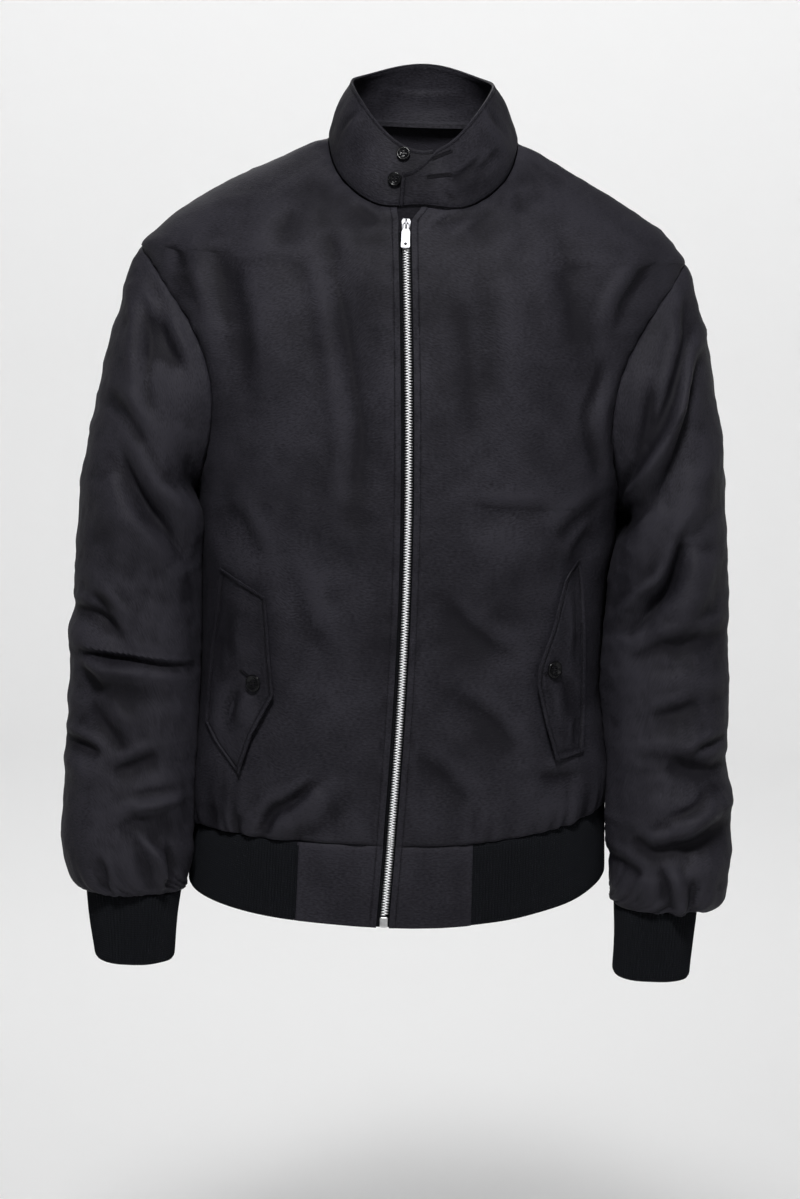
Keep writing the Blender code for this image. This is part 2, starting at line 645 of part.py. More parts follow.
def make_pull(frame, metal):
    """Pull tab hanging from the bail: its origin is the middle of the bar under the bail."""
    p = PULL
    t = p["thick"] / 2
    top = p["bar"]
    outline = [(-p["neck"], top), (-p["neck"], -p["eye_length"] - 0.001),
               (-p["half"], -p["eye_length"] - 0.003), (-p["half"], -p["length"] + 0.0015),
               (-p["half"] + 0.0015, -p["length"]), (p["half"] - 0.0015, -p["length"]),
               (p["half"], -p["length"] + 0.0015), (p["half"], -p["eye_length"] - 0.003),
               (p["neck"], -p["eye_length"] - 0.001), (p["neck"], top)]
    pull = prism("zip_pull", outline, -t, t, "y", metal)
    eye = [(-p["eye"], -top), (-p["eye"], -p["eye_length"]), (p["eye"], -p["eye_length"]), (p["eye"], -top)]
    combine(pull, prism("eye_cutter", eye, -2 * t, 2 * t, "y", metal), "DIFFERENCE")
    angle = np.linspace(0, 2 * np.pi, 13)[:-1]
    rim = [(p["hole"] * np.cos(a), p["hole_at"] + p["hole"] * np.sin(a)) for a in angle]
    combine(pull, prism("hole_cutter", rim, -2 * t, 2 * t, "y", metal), "DIFFERENCE")
    axis = frame @ Matrix.Translation((0.0, SLIDER["front"] - p["rise"], p["rise"]))
    for item in (pull, bpy.data.objects["eye_cutter"], bpy.data.objects["hole_cutter"]):
        item.matrix_world = axis


def make_body(cloth):
    sheet("front_right", front_grid("right"), CLOTH, cloth, flip=True)
    sheet("front_left", front_grid("left"), CLOTH, cloth)
    sheet("back", back_grid(), CLOTH, cloth)
    sheet("collar", collar_grid(), COLLAR_CLOTH, cloth, flip=True)
    for side_name in ("right", "left"):
        flip = side_name == "right"
        sheet("sleeve_" + side_name, sleeve_grid(side_name), CLOTH, cloth, closed=True, flip=flip)
        sheet("pocket_flap_" + side_name, flap_grid(side_name), CLOTH, cloth, flip=flip)


def band_grid(first, last, columns, rows=3):
    """Part of the hem band between two bearings."""
    bearing = np.linspace(first, last, columns + 1)[None, :]
    down = np.linspace(1, 0, rows + 1)[:, None]
    bearing, down = np.broadcast_arrays(bearing, down)
    return band(bearing, down)


def make_hem(cloth, rib):
    turn = {name: float(bearing_of(TAB_OUTER[name], HEM)) for name in TAB_OUTER}
    gap = SEAM / TAB_DEPTH
    sheet("hem_rib", band_grid(turn["left"] + gap, turn["right"] + 2 * np.pi - gap, 30), RIB_CLOTH, rib)
    levels = np.linspace(EDGE, HEM, 4)
    down = np.linspace(1, 0, 4)[:, None]
    t = np.linspace(0, 1, 6)[None, :]
    for side_name, sign in (("right", -1), ("left", 1)):
        edge = zip_x(levels) + sign * GAP[side_name]
        bearing = bearing_of(edge, HEM)[:, None] * (1 - t) + turn[side_name] * t
        tab = band(bearing, down + 0 * t)
        sheet("hem_tab_" + side_name, tab, CLOTH, cloth, flip=side_name == "right")
    for side_name in ("right", "left"):
        grid = cuff_grid(side_name)
        sheet("cuff_" + side_name, grid, RIB_CLOTH, rib, closed=True, flip=side_name == "right")


def make_zip(cloth, metal):
    levels = zip_levels()
    under = -CLOTH - TAPE_GAP
    middle = SEAM / 2
    sheet("zip_tape_right", strip_grid(-TAPE_HALF, -middle, levels, under, 2), TAPE, cloth)
    sheet("zip_tape_left", strip_grid(middle, TAPE_HALF, levels, under, 2), TAPE, cloth)
    chain = strip_grid(-CHAIN_HALF, CHAIN_HALF, levels, -CHAIN_SINK, 2)
    sheet("zip_chain", chain, CHAIN_DEPTH, metal)
    foot = np.array([EDGE + BOX["low"], EDGE + BOX["high"]])
    sheet("zip_box", strip_grid(-BOX["half"], BOX["half"], foot, BOX["lift"], 2), BOX["deep"], metal)
    make_pull(make_slider(metal), metal)


def make_buttons(plastic):
    for side_name, (x, level) in POCKET_BUTTON_AT.items():
        at = lifted(front, np.array(x), np.array(level), FLAP_LIFT + CLOTH)
        outward = at - front(x, level)
        disc("pocket_button_" + side_name, *POCKET_BUTTON, at, outward, plastic)
    for name, (x, height) in COLLAR_BUTTON_AT.items():
        turn = np.arcsin(np.array(x) / COLLAR_REACH)
        at = collar(turn, np.array(height))
        step = 0.01
        across = collar(turn + step, np.array(height)) - collar(turn - step, np.array(height))
        up = collar(turn, np.array(height + step)) - collar(turn, np.array(height - step))
        disc("collar_button_" + name, *COLLAR_BUTTON, at, np.cross(across, up), plastic)


def main():
    clear_scene()
    cloth = material("black poplin", (0.0150, 0.0145, 0.0170), 0.75)
    rib = material("black rib knit", (0.0080, 0.0095, 0.0110), 0.95)
    metal = material("nickel zip", (0.62, 0.62, 0.62), 0.3, 1.0)
    plastic = material("black button", (0.010, 0.010, 0.011), 0.2)
    make_body(cloth)
    make_hem(cloth, rib)
    make_zip(cloth, metal)
    make_buttons(plastic)


main()
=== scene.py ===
"""Harrington jacket in its hollow worn form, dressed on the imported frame.

Every cloth piece is a surface worked out on a grid of two parameters, moved out along its own
normal by its folds, seams and gathers, and given a thickness. Metres, +Z up, front towards -Y.
A bearing is an angle round the body: 0 at centre front, +90 degrees at the wearer's left side.
"""

from math import pi, radians

import bmesh
import bpy
import numpy as np
from bpy.props import FloatProperty, FloatVectorProperty, PointerProperty, StringProperty
from mathutils import Matrix, Vector


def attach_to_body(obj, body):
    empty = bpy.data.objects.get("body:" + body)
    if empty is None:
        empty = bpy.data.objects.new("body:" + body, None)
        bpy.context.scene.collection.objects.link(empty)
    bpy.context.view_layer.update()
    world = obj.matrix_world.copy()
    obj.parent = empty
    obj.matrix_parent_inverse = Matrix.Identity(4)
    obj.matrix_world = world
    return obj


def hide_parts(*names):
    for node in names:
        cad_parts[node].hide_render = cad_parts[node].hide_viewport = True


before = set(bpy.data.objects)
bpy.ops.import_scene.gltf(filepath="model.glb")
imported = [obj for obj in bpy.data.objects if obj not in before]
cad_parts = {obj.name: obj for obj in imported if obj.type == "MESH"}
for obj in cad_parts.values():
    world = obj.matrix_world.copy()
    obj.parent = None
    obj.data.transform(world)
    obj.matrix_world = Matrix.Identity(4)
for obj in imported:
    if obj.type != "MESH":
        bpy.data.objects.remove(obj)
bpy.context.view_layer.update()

bl_info = {
    "name": "Harrington jacket",
    "version": (1, 0, 0),
    "blender": (4, 5, 0),
    "location": "3D View > Sidebar > Jacket",
    "description": "Builds the cloth, knit, zip and buttons of a worn harrington jacket",
    "category": "Object",
}

# The sign of x on each of the wearer's sides
SIGN = {"right": -1, "left": 1}

# Thicknesses and gaps
CLOTH = 0.0015
COLLAR_CLOTH = 0.0022
RIB_CLOTH = 0.0026
SEAM = 0.0004
SHOULDER_SEAM = 0.0016
CLEAR = 0.0034

# Body of the jacket, one row per level: half widths at the wearer's right and left,
# depths to the front and back, and how square the ring is (2 is an ellipse)
#         level    right    left     front    back     squareness
BODY = [(-0.6200, 0.1950, 0.1900, 0.1415, 0.1140, 2.40),
        (-0.5750, 0.1950, 0.1910, 0.1420, 0.1150, 2.40),
        (-0.5450, 0.1930, 0.1910, 0.1415, 0.1150, 2.40),
        (-0.5000, 0.1890, 0.1820, 0.1400, 0.1130, 2.40),
        (-0.4700, 0.1870, 0.1755, 0.1390, 0.1120, 2.40),
        (-0.4000, 0.1870, 0.1780, 0.1380, 0.1120, 2.40),
        (-0.3050, 0.1910, 0.1860, 0.1360, 0.1140, 2.40),
        (-0.2200, 0.2090, 0.2050, 0.1300, 0.1160, 2.40),
        (-0.1570, 0.2290, 0.2240, 0.1215, 0.1140, 2.35),
        (-0.1200, 0.2410, 0.2330, 0.1140, 0.1110, 2.30),
        (-0.0910, 0.2460, 0.2355, 0.1050, 0.1065, 2.20),
        (-0.0770, 0.2340, 0.2265, 0.0985, 0.1045, 2.20),
        (-0.0630, 0.2195, 0.2130, 0.0905, 0.1015, 2.15),
        (-0.0500, 0.2015, 0.1925, 0.0810, 0.0990, 2.15),
        (-0.0360, 0.1785, 0.1690, 0.0665, 0.0955, 2.10),
        (-0.0220, 0.1515, 0.1430, 0.0490, 0.0910, 2.10),
        (-0.0120, 0.1295, 0.1248, 0.0360, 0.0875, 2.10),
        (-0.0030, 0.1115, 0.1085, 0.0230, 0.0835, 2.10),
        (0.0040, 0.0965, 0.0955, 0.0130, 0.0800, 2.10),
        (0.0080, 0.0840, 0.0840, 0.0090, 0.0780, 2.10),
        (0.0280, 0.0840, 0.0840, 0.0090, 0.0670, 2.10)]

# Hem: the seam's level in front, how far it rises to each side, and the lower edge
HEM = -0.597
HEM_RISE = {"right": -0.005, "left": 0.026}
EDGE = -0.669
EDGE_RISE = {"right": 0.008, "left": 0.030}
TUCK = 0.035
TUCK_RUN = 0.010
FLARE = 0.012
TAB_OUTER = {"right": -0.0930, "left": 0.0655}

# Neck seam: half width, its level as a sum of cosines of the angle round the neck, and the
# extra drop half way round each front
NECK_HALF = 0.084
NECK_WAVE = (-0.0026, -0.0353, -0.0106)
NECK_DROP = 0.0095

# Armholes: an ellipse in bearing and level
TIP = -0.091
PIT = -0.305
BITE_FRONT = radians(38)
BITE_BACK = radians(32)

# Zip: its line over the front, the gap between the front edges, and half the tapes' width
ZIP_X = -0.0125
ZIP_BOW = 0.0105
ZIP_TOP = -0.0711
GAP = {"right": 0.0065, "left": 0.0048}
NOTCH = {"right": 0.0020, "left": 0.0080}
NOTCH_RUN = 0.014
TAPE_HALF = 0.0130

# Sleeves, one row per ring from shoulder to cuff: level and reach of the outer side,
# level and reach of the inner side (right, left), then the ring's middle and half depth
#          level   right   left    level   right   left    middle   depth
SLEEVE = [(-0.1040, 0.2525, 0.2415, -0.312, 0.1950, 0.1900, 0.0000, 0.0980),
          (-0.1300, 0.2610, 0.2510, -0.325, 0.1905, 0.1865, -0.0005, 0.0965),
          (-0.1700, 0.2715, 0.2625, -0.345, 0.1860, 0.1830, -0.0015, 0.0935),
          (-0.2250, 0.2825, 0.2695, -0.372, 0.1830, 0.1790, -0.0035, 0.0895),
          (-0.2900, 0.2920, 0.2775, -0.405, 0.1820, 0.1770, -0.0070, 0.0840),
          (-0.3700, 0.2980, 0.2860, -0.450, 0.1820, 0.1760, -0.0140, 0.0770),
          (-0.4400, 0.3000, 0.2885, -0.500, 0.1830, 0.1790, -0.0220, 0.0710),
          (-0.5100, 0.3005, 0.2895, -0.550, 0.1835, 0.1820, -0.0320, 0.0660),
          (-0.5650, 0.3015, 0.2955, -0.595, 0.1850, 0.1845, -0.0410, 0.0620),
          (-0.6050, 0.3030, 0.2950, -0.625, 0.1880, 0.1880, -0.0470, 0.0590),
          (-0.6360, 0.2985, 0.2925, -0.641, 0.1910, 0.1900, -0.0510, 0.0545),
          (-0.6500, 0.2935, 0.2895, -0.649, 0.1920, 0.1915, -0.0525, 0.0500),
          (-0.6572, 0.2865, 0.2815, -0.6545, 0.1925, 0.1920, -0.0535, 0.0450),
          (-0.6590, 0.2800, 0.2690, -0.6592, 0.1935, 0.1930, -0.0540, 0.0395)]
# How square the rings are, and how square where the arm presses the sleeve against the body;
# the tilt of the seam's ridge below and above; the ridge's height, how far each station carries
# the armhole's own loop outwards, and how many stations it takes to turn into a round ring
SLEEVE_ROUND = 2.2
SLEEVE_PRESSED = 4.2
SLEEVE_TILT = (radians(22), radians(66))
SEAM_RIDGE = 0.003
SLEEVE_STRIDE = 0.012
SLEEVE_BLEND = 3.2

# Cuffs: level, outer and inner reach (right, left), middle and half depth
CUFF = [(-0.6598, 0.2785, 0.2660, 0.1940, 0.1940, -0.0535, 0.0385),
        (-0.6900, 0.2740, 0.2650, 0.1965, 0.1940, -0.0565, 0.0365),
        (-0.7220, 0.2690, 0.2620, 0.2000, 0.1940, -0.0600, 0.0340)]

# Stand collar: top edge as a ring, where the strip starts and ends, and the lapping end
COLLAR_TOP = {"right": 0.0645, "left": 0.0600, "front": 0.0750, "back": 0.0660}
COLLAR_WAVE = (0.0480, -0.0341, -0.0100, -0.0059)
COLLAR_START = radians(8)
COLLAR_END = radians(-372)
COLLAR_BULGE = 0.0030
LAP_RAMP = radians(50)
LAP_LIFT = 0.0044
LAP_TAPER = radians(26)
LAP_HEIGHT = 0.55
COLLAR_BASE = 0.0011

# Pocket flaps, one row per station from top to bottom: outer and inner edge as (x, z)
FLAP = {"right": [(-0.1622, -0.3660, -0.1197, -0.3855), (-0.1695, -0.4276, -0.1157, -0.4225),
                  (-0.1723, -0.4726, -0.1110, -0.4700), (-0.1735, -0.5044, -0.1290, -0.5075),
                  (-0.1645, -0.5180, -0.1340, -0.5250), (-0.1440, -0.5400, -0.1395, -0.5420)],
        "left": [(0.1470, -0.3460, 0.1370, -0.3530), (0.1500, -0.3640, 0.1310, -0.3640),
                 (0.1545, -0.4070, 0.1222, -0.4070), (0.1560, -0.4400, 0.1115, -0.4400),
                 (0.1566, -0.4560, 0.1108, -0.4540), (0.1572, -0.4900, 0.1195, -0.4900),
                 (0.1560, -0.5170, 0.1293, -0.5205)]}
FLAP_LIFT = 0.0010

# Buttons: radius and thickness, and where they sit
POCKET_BUTTON = (0.0076, 0.0026)
COLLAR_BUTTON = (0.0060, 0.0024)
POCKET_BUTTON_AT = {"right": (-0.1302, -0.4606), "left": (0.1270, -0.4414)}
COLLAR_BUTTON_AT = {"upper": (-0.0190, 0.86), "lower": (-0.0232, 0.42)}
BUTTON_LIFT = 0.0004

# Slider and pull, in their own frame: x across, y into the body, z up along the zip
SLIDER_LEVEL = -0.0655
SLIDER = {"top": 0.0056, "shoulder": 0.0030, "wide": 0.0043, "bottom": -0.0056, "narrow": 0.0034,
          "back": 0.0016, "front": -0.0022}
BAIL = {"half": 0.0009, "foot": 0.0046, "rise": 0.0032}
PULL = {"half": 0.0040, "neck": 0.0031, "length": 0.0245, "thick": 0.0011, "eye_length": 0.0066,
        "hole": 0.0011, "hole_at": -0.0207, "rise": 0.00105}


# Folds, one per row: height in mm (below zero for a trough), half width in mm, then the line
# that the fold follows over the outside of the jacket as (x, z) in mm
FOLDS = {
    "front_right": [
        (-3.2, 15, (-81, -69), (-66, -125), (-51, -203), (-44, -238), (-46, -309)),
        (2.6, 12, (-201, -104), (-190, -164), (-180, -221)),
        (-2.5, 9, (-204, -107), (-195, -132), (-187, -161)),
        (-2.2, 16, (-176, -82), (-169, -117), (-162, -159)),
        (-1.2, 14, (-110, -53), (-117, -70), (-123, -90)),
        (-0.9, 9, (-70, -38), (-53, -50), (-37, -64)),
        (-0.8, 10, (-49, -82), (-34, -79), (-21, -79)),
        (-0.9, 10, (-59, -44), (-48, -56), (-38, -67)),
        (-0.9, 12, (-79, -70), (-74, -84), (-71, -98)),
        (-1.6, 6, (-215, -85), (-211, -99), (-209, -114)),
        (2.2, 16, (-145, -99), (-132, -158), (-124, -217)),
        (-1.4, 15, (-106, -353), (-92, -395), (-65, -436)),
        (-3.0, 7, (-78, -547), (-88, -556), (-101, -566), (-113, -582)),
        (-3.2, 6, (-106, -560), (-115, -575), (-121, -594)),
        (2.6, 8, (-100, -568), (-106, -582), (-111, -597)),
        (1.2, 9, (-127, -578), (-129, -590), (-130, -600)),
        (-1.2, 10, (-140, -578), (-144, -590), (-146, -602)),
        (2.6, 8, (-69, -548), (-82, -563), (-94, -576)),
        (-1.2, 10, (-168, -574), (-164, -586), (-161, -598)),
        (-2.0, 12, (-156, -306), (-142, -330), (-127, -355)),
    ],
    "front_left": [
        (-3.4, 13, (204, -90), (191, -110), (180, -126), (172, -149)),
        (3.0, 12, (181, -173), (166, -210), (161, -224), (170, -259), (174, -282)),
        (-2.2, 12, (169, -296), (148, -311), (126, -330)),
        (-1.6, 9, (163, -318), (149, -335), (139, -352)),
        (-1.6, 10, (50, -298), (86, -305), (120, -303)),
        (-2.2, 5, (61, -37), (38, -48), (13, -64)),
        (-1.2, 10, (66, -47), (54, -57), (40, -70)),
        (-0.7, 9, (84, -32), (85, -43), (84, -53)),
        (-2.2, 14, (9, -516), (34, -537), (59, -560)),
        (-2.2, 12, (44, -464), (76, -488), (99, -513)),
        (-2.0, 10, (116, -534), (137, -537), (157, -536)),
        (-1.5, 20, (119, -65), (131, -116), (136, -166)),
        (1.2, 20, (68, -84), (80, -142), (86, -209)),
        (-1.1, 16, (35, -127), (46, -185), (51, -244)),
        (-1.8, 12, (27, -381), (62, -415), (98, -432)),
    ],
    "sleeve_right": [
        (3.6, 10, (-243, -118), (-236, -134), (-227, -152)),
        (-5.0, 10, (-225, -152), (-213, -175), (-200, -196)),
        (-4.2, 11, (-241, -118), (-233, -163), (-232, -198), (-228, -237)),
        (-3.6, 13, (-270, -214), (-262, -226), (-250, -238), (-230, -262)),
        (-6.4, 15, (-262, -258), (-249, -283), (-237, -303), (-219, -327), (-193, -372)),
        (5.0, 12, (-268, -285), (-249, -314), (-229, -340), (-209, -367)),
        (-4.5, 12, (-280, -393), (-266, -408), (-252, -425)),
        (-3.6, 8, (-302, -408), (-284, -410), (-262, -420), (-246, -432)),
        (-4.2, 4, (-289, -445), (-264, -447), (-241, -449), (-194, -456)),
        (4.0, 9, (-282, -456), (-256, -457), (-223, -458)),
        (-4.0, 10, (-289, -458), (-276, -466), (-263, -479)),
        (-4.2, 14, (-280, -486), (-264, -506), (-240, -534)),
        (-4.0, 7, (-300, -524), (-284, -526), (-266, -534)),
        (4.5, 10, (-234, -581), (-214, -576), (-195, -573)),
        (-3.4, 12, (-250, -598), (-227, -588), (-198, -580)),
        (-3.5, 10, (-255, -547), (-235, -542), (-213, -531)),
        (-2.6, 5, (-264, -622), (-258, -636), (-254, -656)),
        (-3.4, 5, (-232, -606), (-222, -622), (-217, -640), (-214, -658)),
        (3.0, 6, (-224, -606), (-213, -624), (-207, -646)),
        (-3.0, 5, (-205, -612), (-203, -633), (-206, -656)),
    ],
    "sleeve_left": [
        (-4.0, 10, (232, -111), (236, -150), (229, -188), (214, -256)),
        (-8.5, 11, (262, -158), (251, -175), (240, -220), (221, -268), (200, -307), (188, -340)),
        (5.0, 11, (241, -166), (229, -216), (210, -261), (192, -301)),
        (-3.0, 9, (205, -197), (201, -225), (196, -254)),
        (-8.0, 10, (237, -328), (235, -345), (228, -367), (213, -384), (189, -421)),
        (5.0, 10, (250, -333), (244, -356), (237, -376), (221, -397)),
        (-3.6, 12, (284, -414), (250, -417), (222, -422), (192, -438)),
        (-6.0, 12, (292, -526), (268, -530), (249, -527), (231, -519)),
        (-2.8, 7, (286, -504), (268, -509), (248, -520)),
        (-5.0, 10, (283, -575), (258, -593), (238, -598), (221, -602), (203, -590)),
        (4.0, 9, (276, -557), (256, -574), (234, -582)),
        (-3.0, 9, (184, -612), (198, -618), (214, -626)),
        (-3.0, 10, (258, -468), (240, -478), (215, -484)),
        (-3.2, 5, (228, -616), (236, -634), (240, -660)),
        (3.0, 6, (238, -612), (246, -632), (250, -656)),
        (-2.8, 5, (258, -622), (258, -640), (256, -660)),
    ],
}
# Folds of the hidden sides, in the same form: the back, and the rear half of each sleeve
BACK_FOLDS = {
    "back": [
        (-3.0, 14, (172, -120), (158, -180), (150, -250)),
        (3.0, 12, (184, -150), (170, -205), (164, -262)),
        (-3.0, 14, (-176, -118), (-160, -186), (-152, -262)),
        (3.0, 12, (-190, -150), (-174, -210), (-168, -270)),
        (-2.4, 20, (90, -60), (70, -160), (62, -260)),
        (-2.2, 20, (-84, -66), (-70, -150), (-66, -240)),
        (-2.4, 13, (166, -330), (120, -360), (60, -372)),
        (-2.2, 13, (-170, -350), (-118, -380), (-50, -388)),
        (2.0, 12, (150, -352), (104, -382), (40, -392)),
        (-2.8, 12, (150, -440), (96, -474), (20, -486)),
        (-2.6, 12, (-160, -470), (-100, -500), (-30, -506)),
        (2.4, 14, (-130, -520), (-60, -544), (20, -548)),
        (-2.6, 9, (120, -520), (110, -556), (104, -584)),
        (-2.4, 9, (-96, -530), (-104, -560), (-108, -588)),
        (-2.0, 9, (30, -540), (34, -566), (36, -590)),
        (-1.8, 12, (-40, 2), (0, -6), (40, 2)),
    ],
    "sleeve_right": [
        (-4.0, 12, (-236, -130), (-228, -180), (-222, -240)),
        (-4.5, 12, (-276, -250), (-250, -300), (-214, -350)),
        (4.0, 12, (-284, -280), (-256, -326), (-224, -372)),
        (-6.0, 10, (-296, -404), (-262, -414), (-206, -452)),
        (4.0, 11, (-292, -430), (-250, -446), (-210, -470)),
        (-5.5, 11, (-290, -470), (-250, -486), (-208, -520)),
        (-5.0, 10, (-292, -530), (-256, -540), (-214, -566)),
        (-4.5, 10, (-286, -590), (-250, -602), (-212, -600)),
    ],
    "sleeve_left": [
        (-4.0, 12, (230, -130), (224, -180), (216, -240)),
        (-4.5, 12, (262, -230), (236, -290), (204, -340)),
        (4.0, 12, (274, -262), (248, -312), (214, -356)),
        (-6.0, 10, (286, -392), (250, -410), (204, -446)),
        (-5.5, 11, (284, -460), (244, -480), (202, -512)),
        (4.0, 10, (284, -486), (248, -504), (206, -534)),
        (-5.0, 10, (288, -530), (250, -548), (206, -560)),
        (-4.5, 10, (280, -592), (244, -604), (206, -606)),
    ],
}

# Collar folds: height and half width in mm, then points as (degrees round the neck, share of height)
COLLAR_FOLDS = [
    (-2.3, 3, (-343, 0.47), (-330, 0.50), (-318, 0.52)),
    (-2.0, 3, (-322, 0.40), (-310, 0.42), (-301, 0.40)),
    (1.6, 5, (-305, 0.92), (-299, 0.62), (-292, 0.34)),
    (1.5, 5, (-52, 0.88), (-58, 0.62), (-64, 0.40)),
    (-2.0, 3, (-346, 0.30), (-343, 0.18), (-338, 0.06)),
    (-1.2, 5, (-150, 0.60), (-175, 0.48), (-205, 0.55)),
]
# Where the collar's buttonholes lie: (degrees round the neck, share of the height) of both ends
COLLAR_HOLES = [((-354.0, 0.93), (-338.5, 0.86)), ((-357.0, 0.62), (-341.5, 0.52))]

# Fineness of the finished grids: rows and columns of the large pieces, columns crowded beside a
# free edge, and the rows or columns across a small piece
SKIRT_ROWS = 110
ARM_ROWS = 64
SHOULDER_ROWS = 40
FRONT_COLUMNS = 92
BACK_COLUMNS = 150
SLEEVE_ROWS = 190
COLLAR_COLUMNS = 270
EDGE_COLUMNS = 15
FINE = 40
# Knit: width of a rib of the hem, ribs round a cuff, how far the ribs stand up, height of the band
# and where the rows of the hem lie from its seam to its edge
RIB_PITCH = 0.0028
CUFF_RIBS = 78
RIB_DEPTH = 0.0006
BAND_HIGH = 0.070
RIB_ROWS = [0.0, 0.02, 0.06, 0.14, 0.26, 0.40, 0.54, 0.68, 0.80, 0.90, 0.96, 0.985, 1.0]
# Folds: how deep one of 1 mm comes out, how much steeper it is on its upper side, the powers that
# make troughs sharp and ridges round, and the steps along a line
FOLD_DEPTH = 2.1
FOLD_LEAN = 0.42
TROUGH_POWER = 1.15
RIDGE_POWER = 1.8
FOLD_STEPS = 16
# Cloth: how near an edge its folds die out, the height that counts as full relief (the full
# strength of the painted crease shade and ridge highlight), and the wall's thickness
EDGE_CALM = 0.010
RELIEF_FULL = 0.0011
CLOTH_WALL = 0.0013
# The front edge's levels beside the underarm and the shoulder tip, how much the back's rows rise
# in the middle at the underarm, and how far up the rows take to leave the hem's own line
EDGE_LEVELS = (-0.300, -0.128)
BACK_RISE = 0.010
HEM_BLEND = 0.25
# Unevenness: height, length and seed of each set of waves, then how it is stretched
BODY_WAVES = [(0.0009, 0.13, 3), (0.00012, 0.026, 5)]
SLEEVE_WAVES = [(0.0007, 0.110, 31), (0.0003, 0.030, 41, (0.6, 0.6, 1.4)), (0.00028, 0.013, 51)]
COLLAR_WAVES = [(0.0006, 0.050, 81), (0.0002, 0.016, 83)]
# Gathers: their height and how fast they die out; the half width, half depth and mean radius of
# the oval that the hem's gathers are measured round
GATHER = 0.0062
GATHER_FADE = 0.020
BODY_OVAL = (0.19, 0.13)
BODY_RADIUS = 0.165
# Sewing: the dip along a seam with its half width, the distance of the stitches from each kind of
# edge, and the length of a stitch; a welt's height, its groove with its half width, and its slope
SEAM_DIP = 0.0011
SEAM_HALF = 0.0024
STITCH_IN = 0.0056
COLLAR_STITCH = 0.0032
FLAP_STITCH = 0.0046
STITCH = 0.0028
WELT = 0.0005
GROOVE = 0.0006
GROOVE_HALF = 0.0008
WELT_SLOPE = 0.0012
# Sleeves beside the body: how far their inner cloth leans in and below which level, the level at
# which it hangs free, the shift at the underarm, and the least gap to the body
LEAN = 0.0055
LEAN_FROM = -0.28
SLEEVE_FREE = {"right": -0.670, "left": -0.625}
UNDERARM_SHIFT = 0.006
UNDERARM_AT = -0.330
LEAST_GAP = 0.0008
# Fullness of the sleeve under the armhole seam, and how far down it lies
FULLNESS = 0.0014
FULLNESS_AT = 0.012
# Collar: mm round the neck for a degree, mm of height, and the curl of the lap's end and top
COLLAR_DEGREE = 1.47
COLLAR_HIGH = 56
LAP_CURL = 0.0022
LAP_TOP_CURL = 0.0012
# How far a flap's free edge stands out
FLAP_CURL = 0.0042
# A tooth of the zip from its root to its head: x, half depth and half height; how far it is sunk;
# the pitch of the teeth, and the chain's ends over the hem's edge and under the slider
TOOTH = [(0.0032, 0.0010, 0.00046), (0.0016, 0.0013, 0.00056), (0.0002, 0.0013, 0.00056),
         (-0.0006, 0.0012, 0.00052), (-0.0010, 0.0006, 0.00038)]
TOOTH_SUNK = 0.0009
TOOTH_PITCH = 0.0024
CHAIN_FOOT = 0.0112
CHAIN_HEAD = 0.0030
# Levels of the box and of the tapes' film over the hem's edge
BOX_FOOT = 0.0053
TAPE_END_FOOT = 0.0066
# Worked buttonhole: half width of its ring; pitch, half thickness and length of its stitches
HOLE_HALF = 0.0011
HOLE_PITCH = 0.0007
HOLE_THREAD = 0.00034
HOLE_STITCH_LONG = 0.0017
# Half a button's section from the middle of its back over the rim: radius and height as shares;
# the four holes' distance, radius and depth as shares of radius, radius and thickness
BUTTON_EDGE = [(0.0, -0.35), (0.55, -0.42), (0.86, -0.40), (0.965, -0.20), (1.0, 0.05),
               (0.975, 0.36), (0.90, 0.50), (0.80, 0.50), (0.70, 0.38), (0.60, 0.16), (0.50, 0.06)]
BUTTON_SPOT = 0.21
BUTTON_HOLE = 0.115
BUTTON_SINK = 0.34
BUTTON_TURN = 64
# Slits of the flaps' buttonholes, both ends as (x, level), and the flaps' own folds
FLAP_HOLE = {"right": ((-0.1435, -0.4520), (-0.1325, -0.4592)),
             "left": ((0.1195, -0.4452), (0.1262, -0.4420))}
FLAP_FOLDS = {
    "right": [
        (-1.3, 10, (-142, -470), (-150, -482), (-153, -496), (-150, -512)),
        (1.2, 9, (-133, -472), (-139, -486), (-141, -502)),
        (-1.1, 9, (-160, -424), (-163, -446), (-162, -470)),
        (0.9, 10, (-146, -404), (-143, -426), (-141, -446)),
    ],
    "left": [
        (-1.3, 6, (143, -372), (148, -410), (147, -440)),
        (-1.1, 8, (134, -450), (141, -464), (144, -486)),
        (0.9, 7, (126, -454), (131, -468), (134, -488)),
        (-1.2, 5, (150, -486), (149, -500), (148, -512)),
    ],
}

# Stage: the floor is round and bends up into a wall a metre further out, this high
BEND_START = 5.0
WALL_HIGH = 3.6
WORLD = 0.05
# Lamps: name, place, aim, size in metres and watts
LAMPS = [("key", (-0.16, -2.00, 1.90), (0.0, 0.0, -0.26), (0.5, 0.4), 98.0),
         ("fill", (1.3, -2.4, 0.3), (0.0, 0.0, -0.30), (1.0, 1.4), 6.0),
         ("back", (-0.5, 2.3, 1.5), (0.0, 0.0, -0.35), (1.4, 1.0), 24.0),
         ("sweep", (0.0, 2.4, 2.4), (0.0, 6.0, 0.3), (3.4, 1.0), 114.0)]


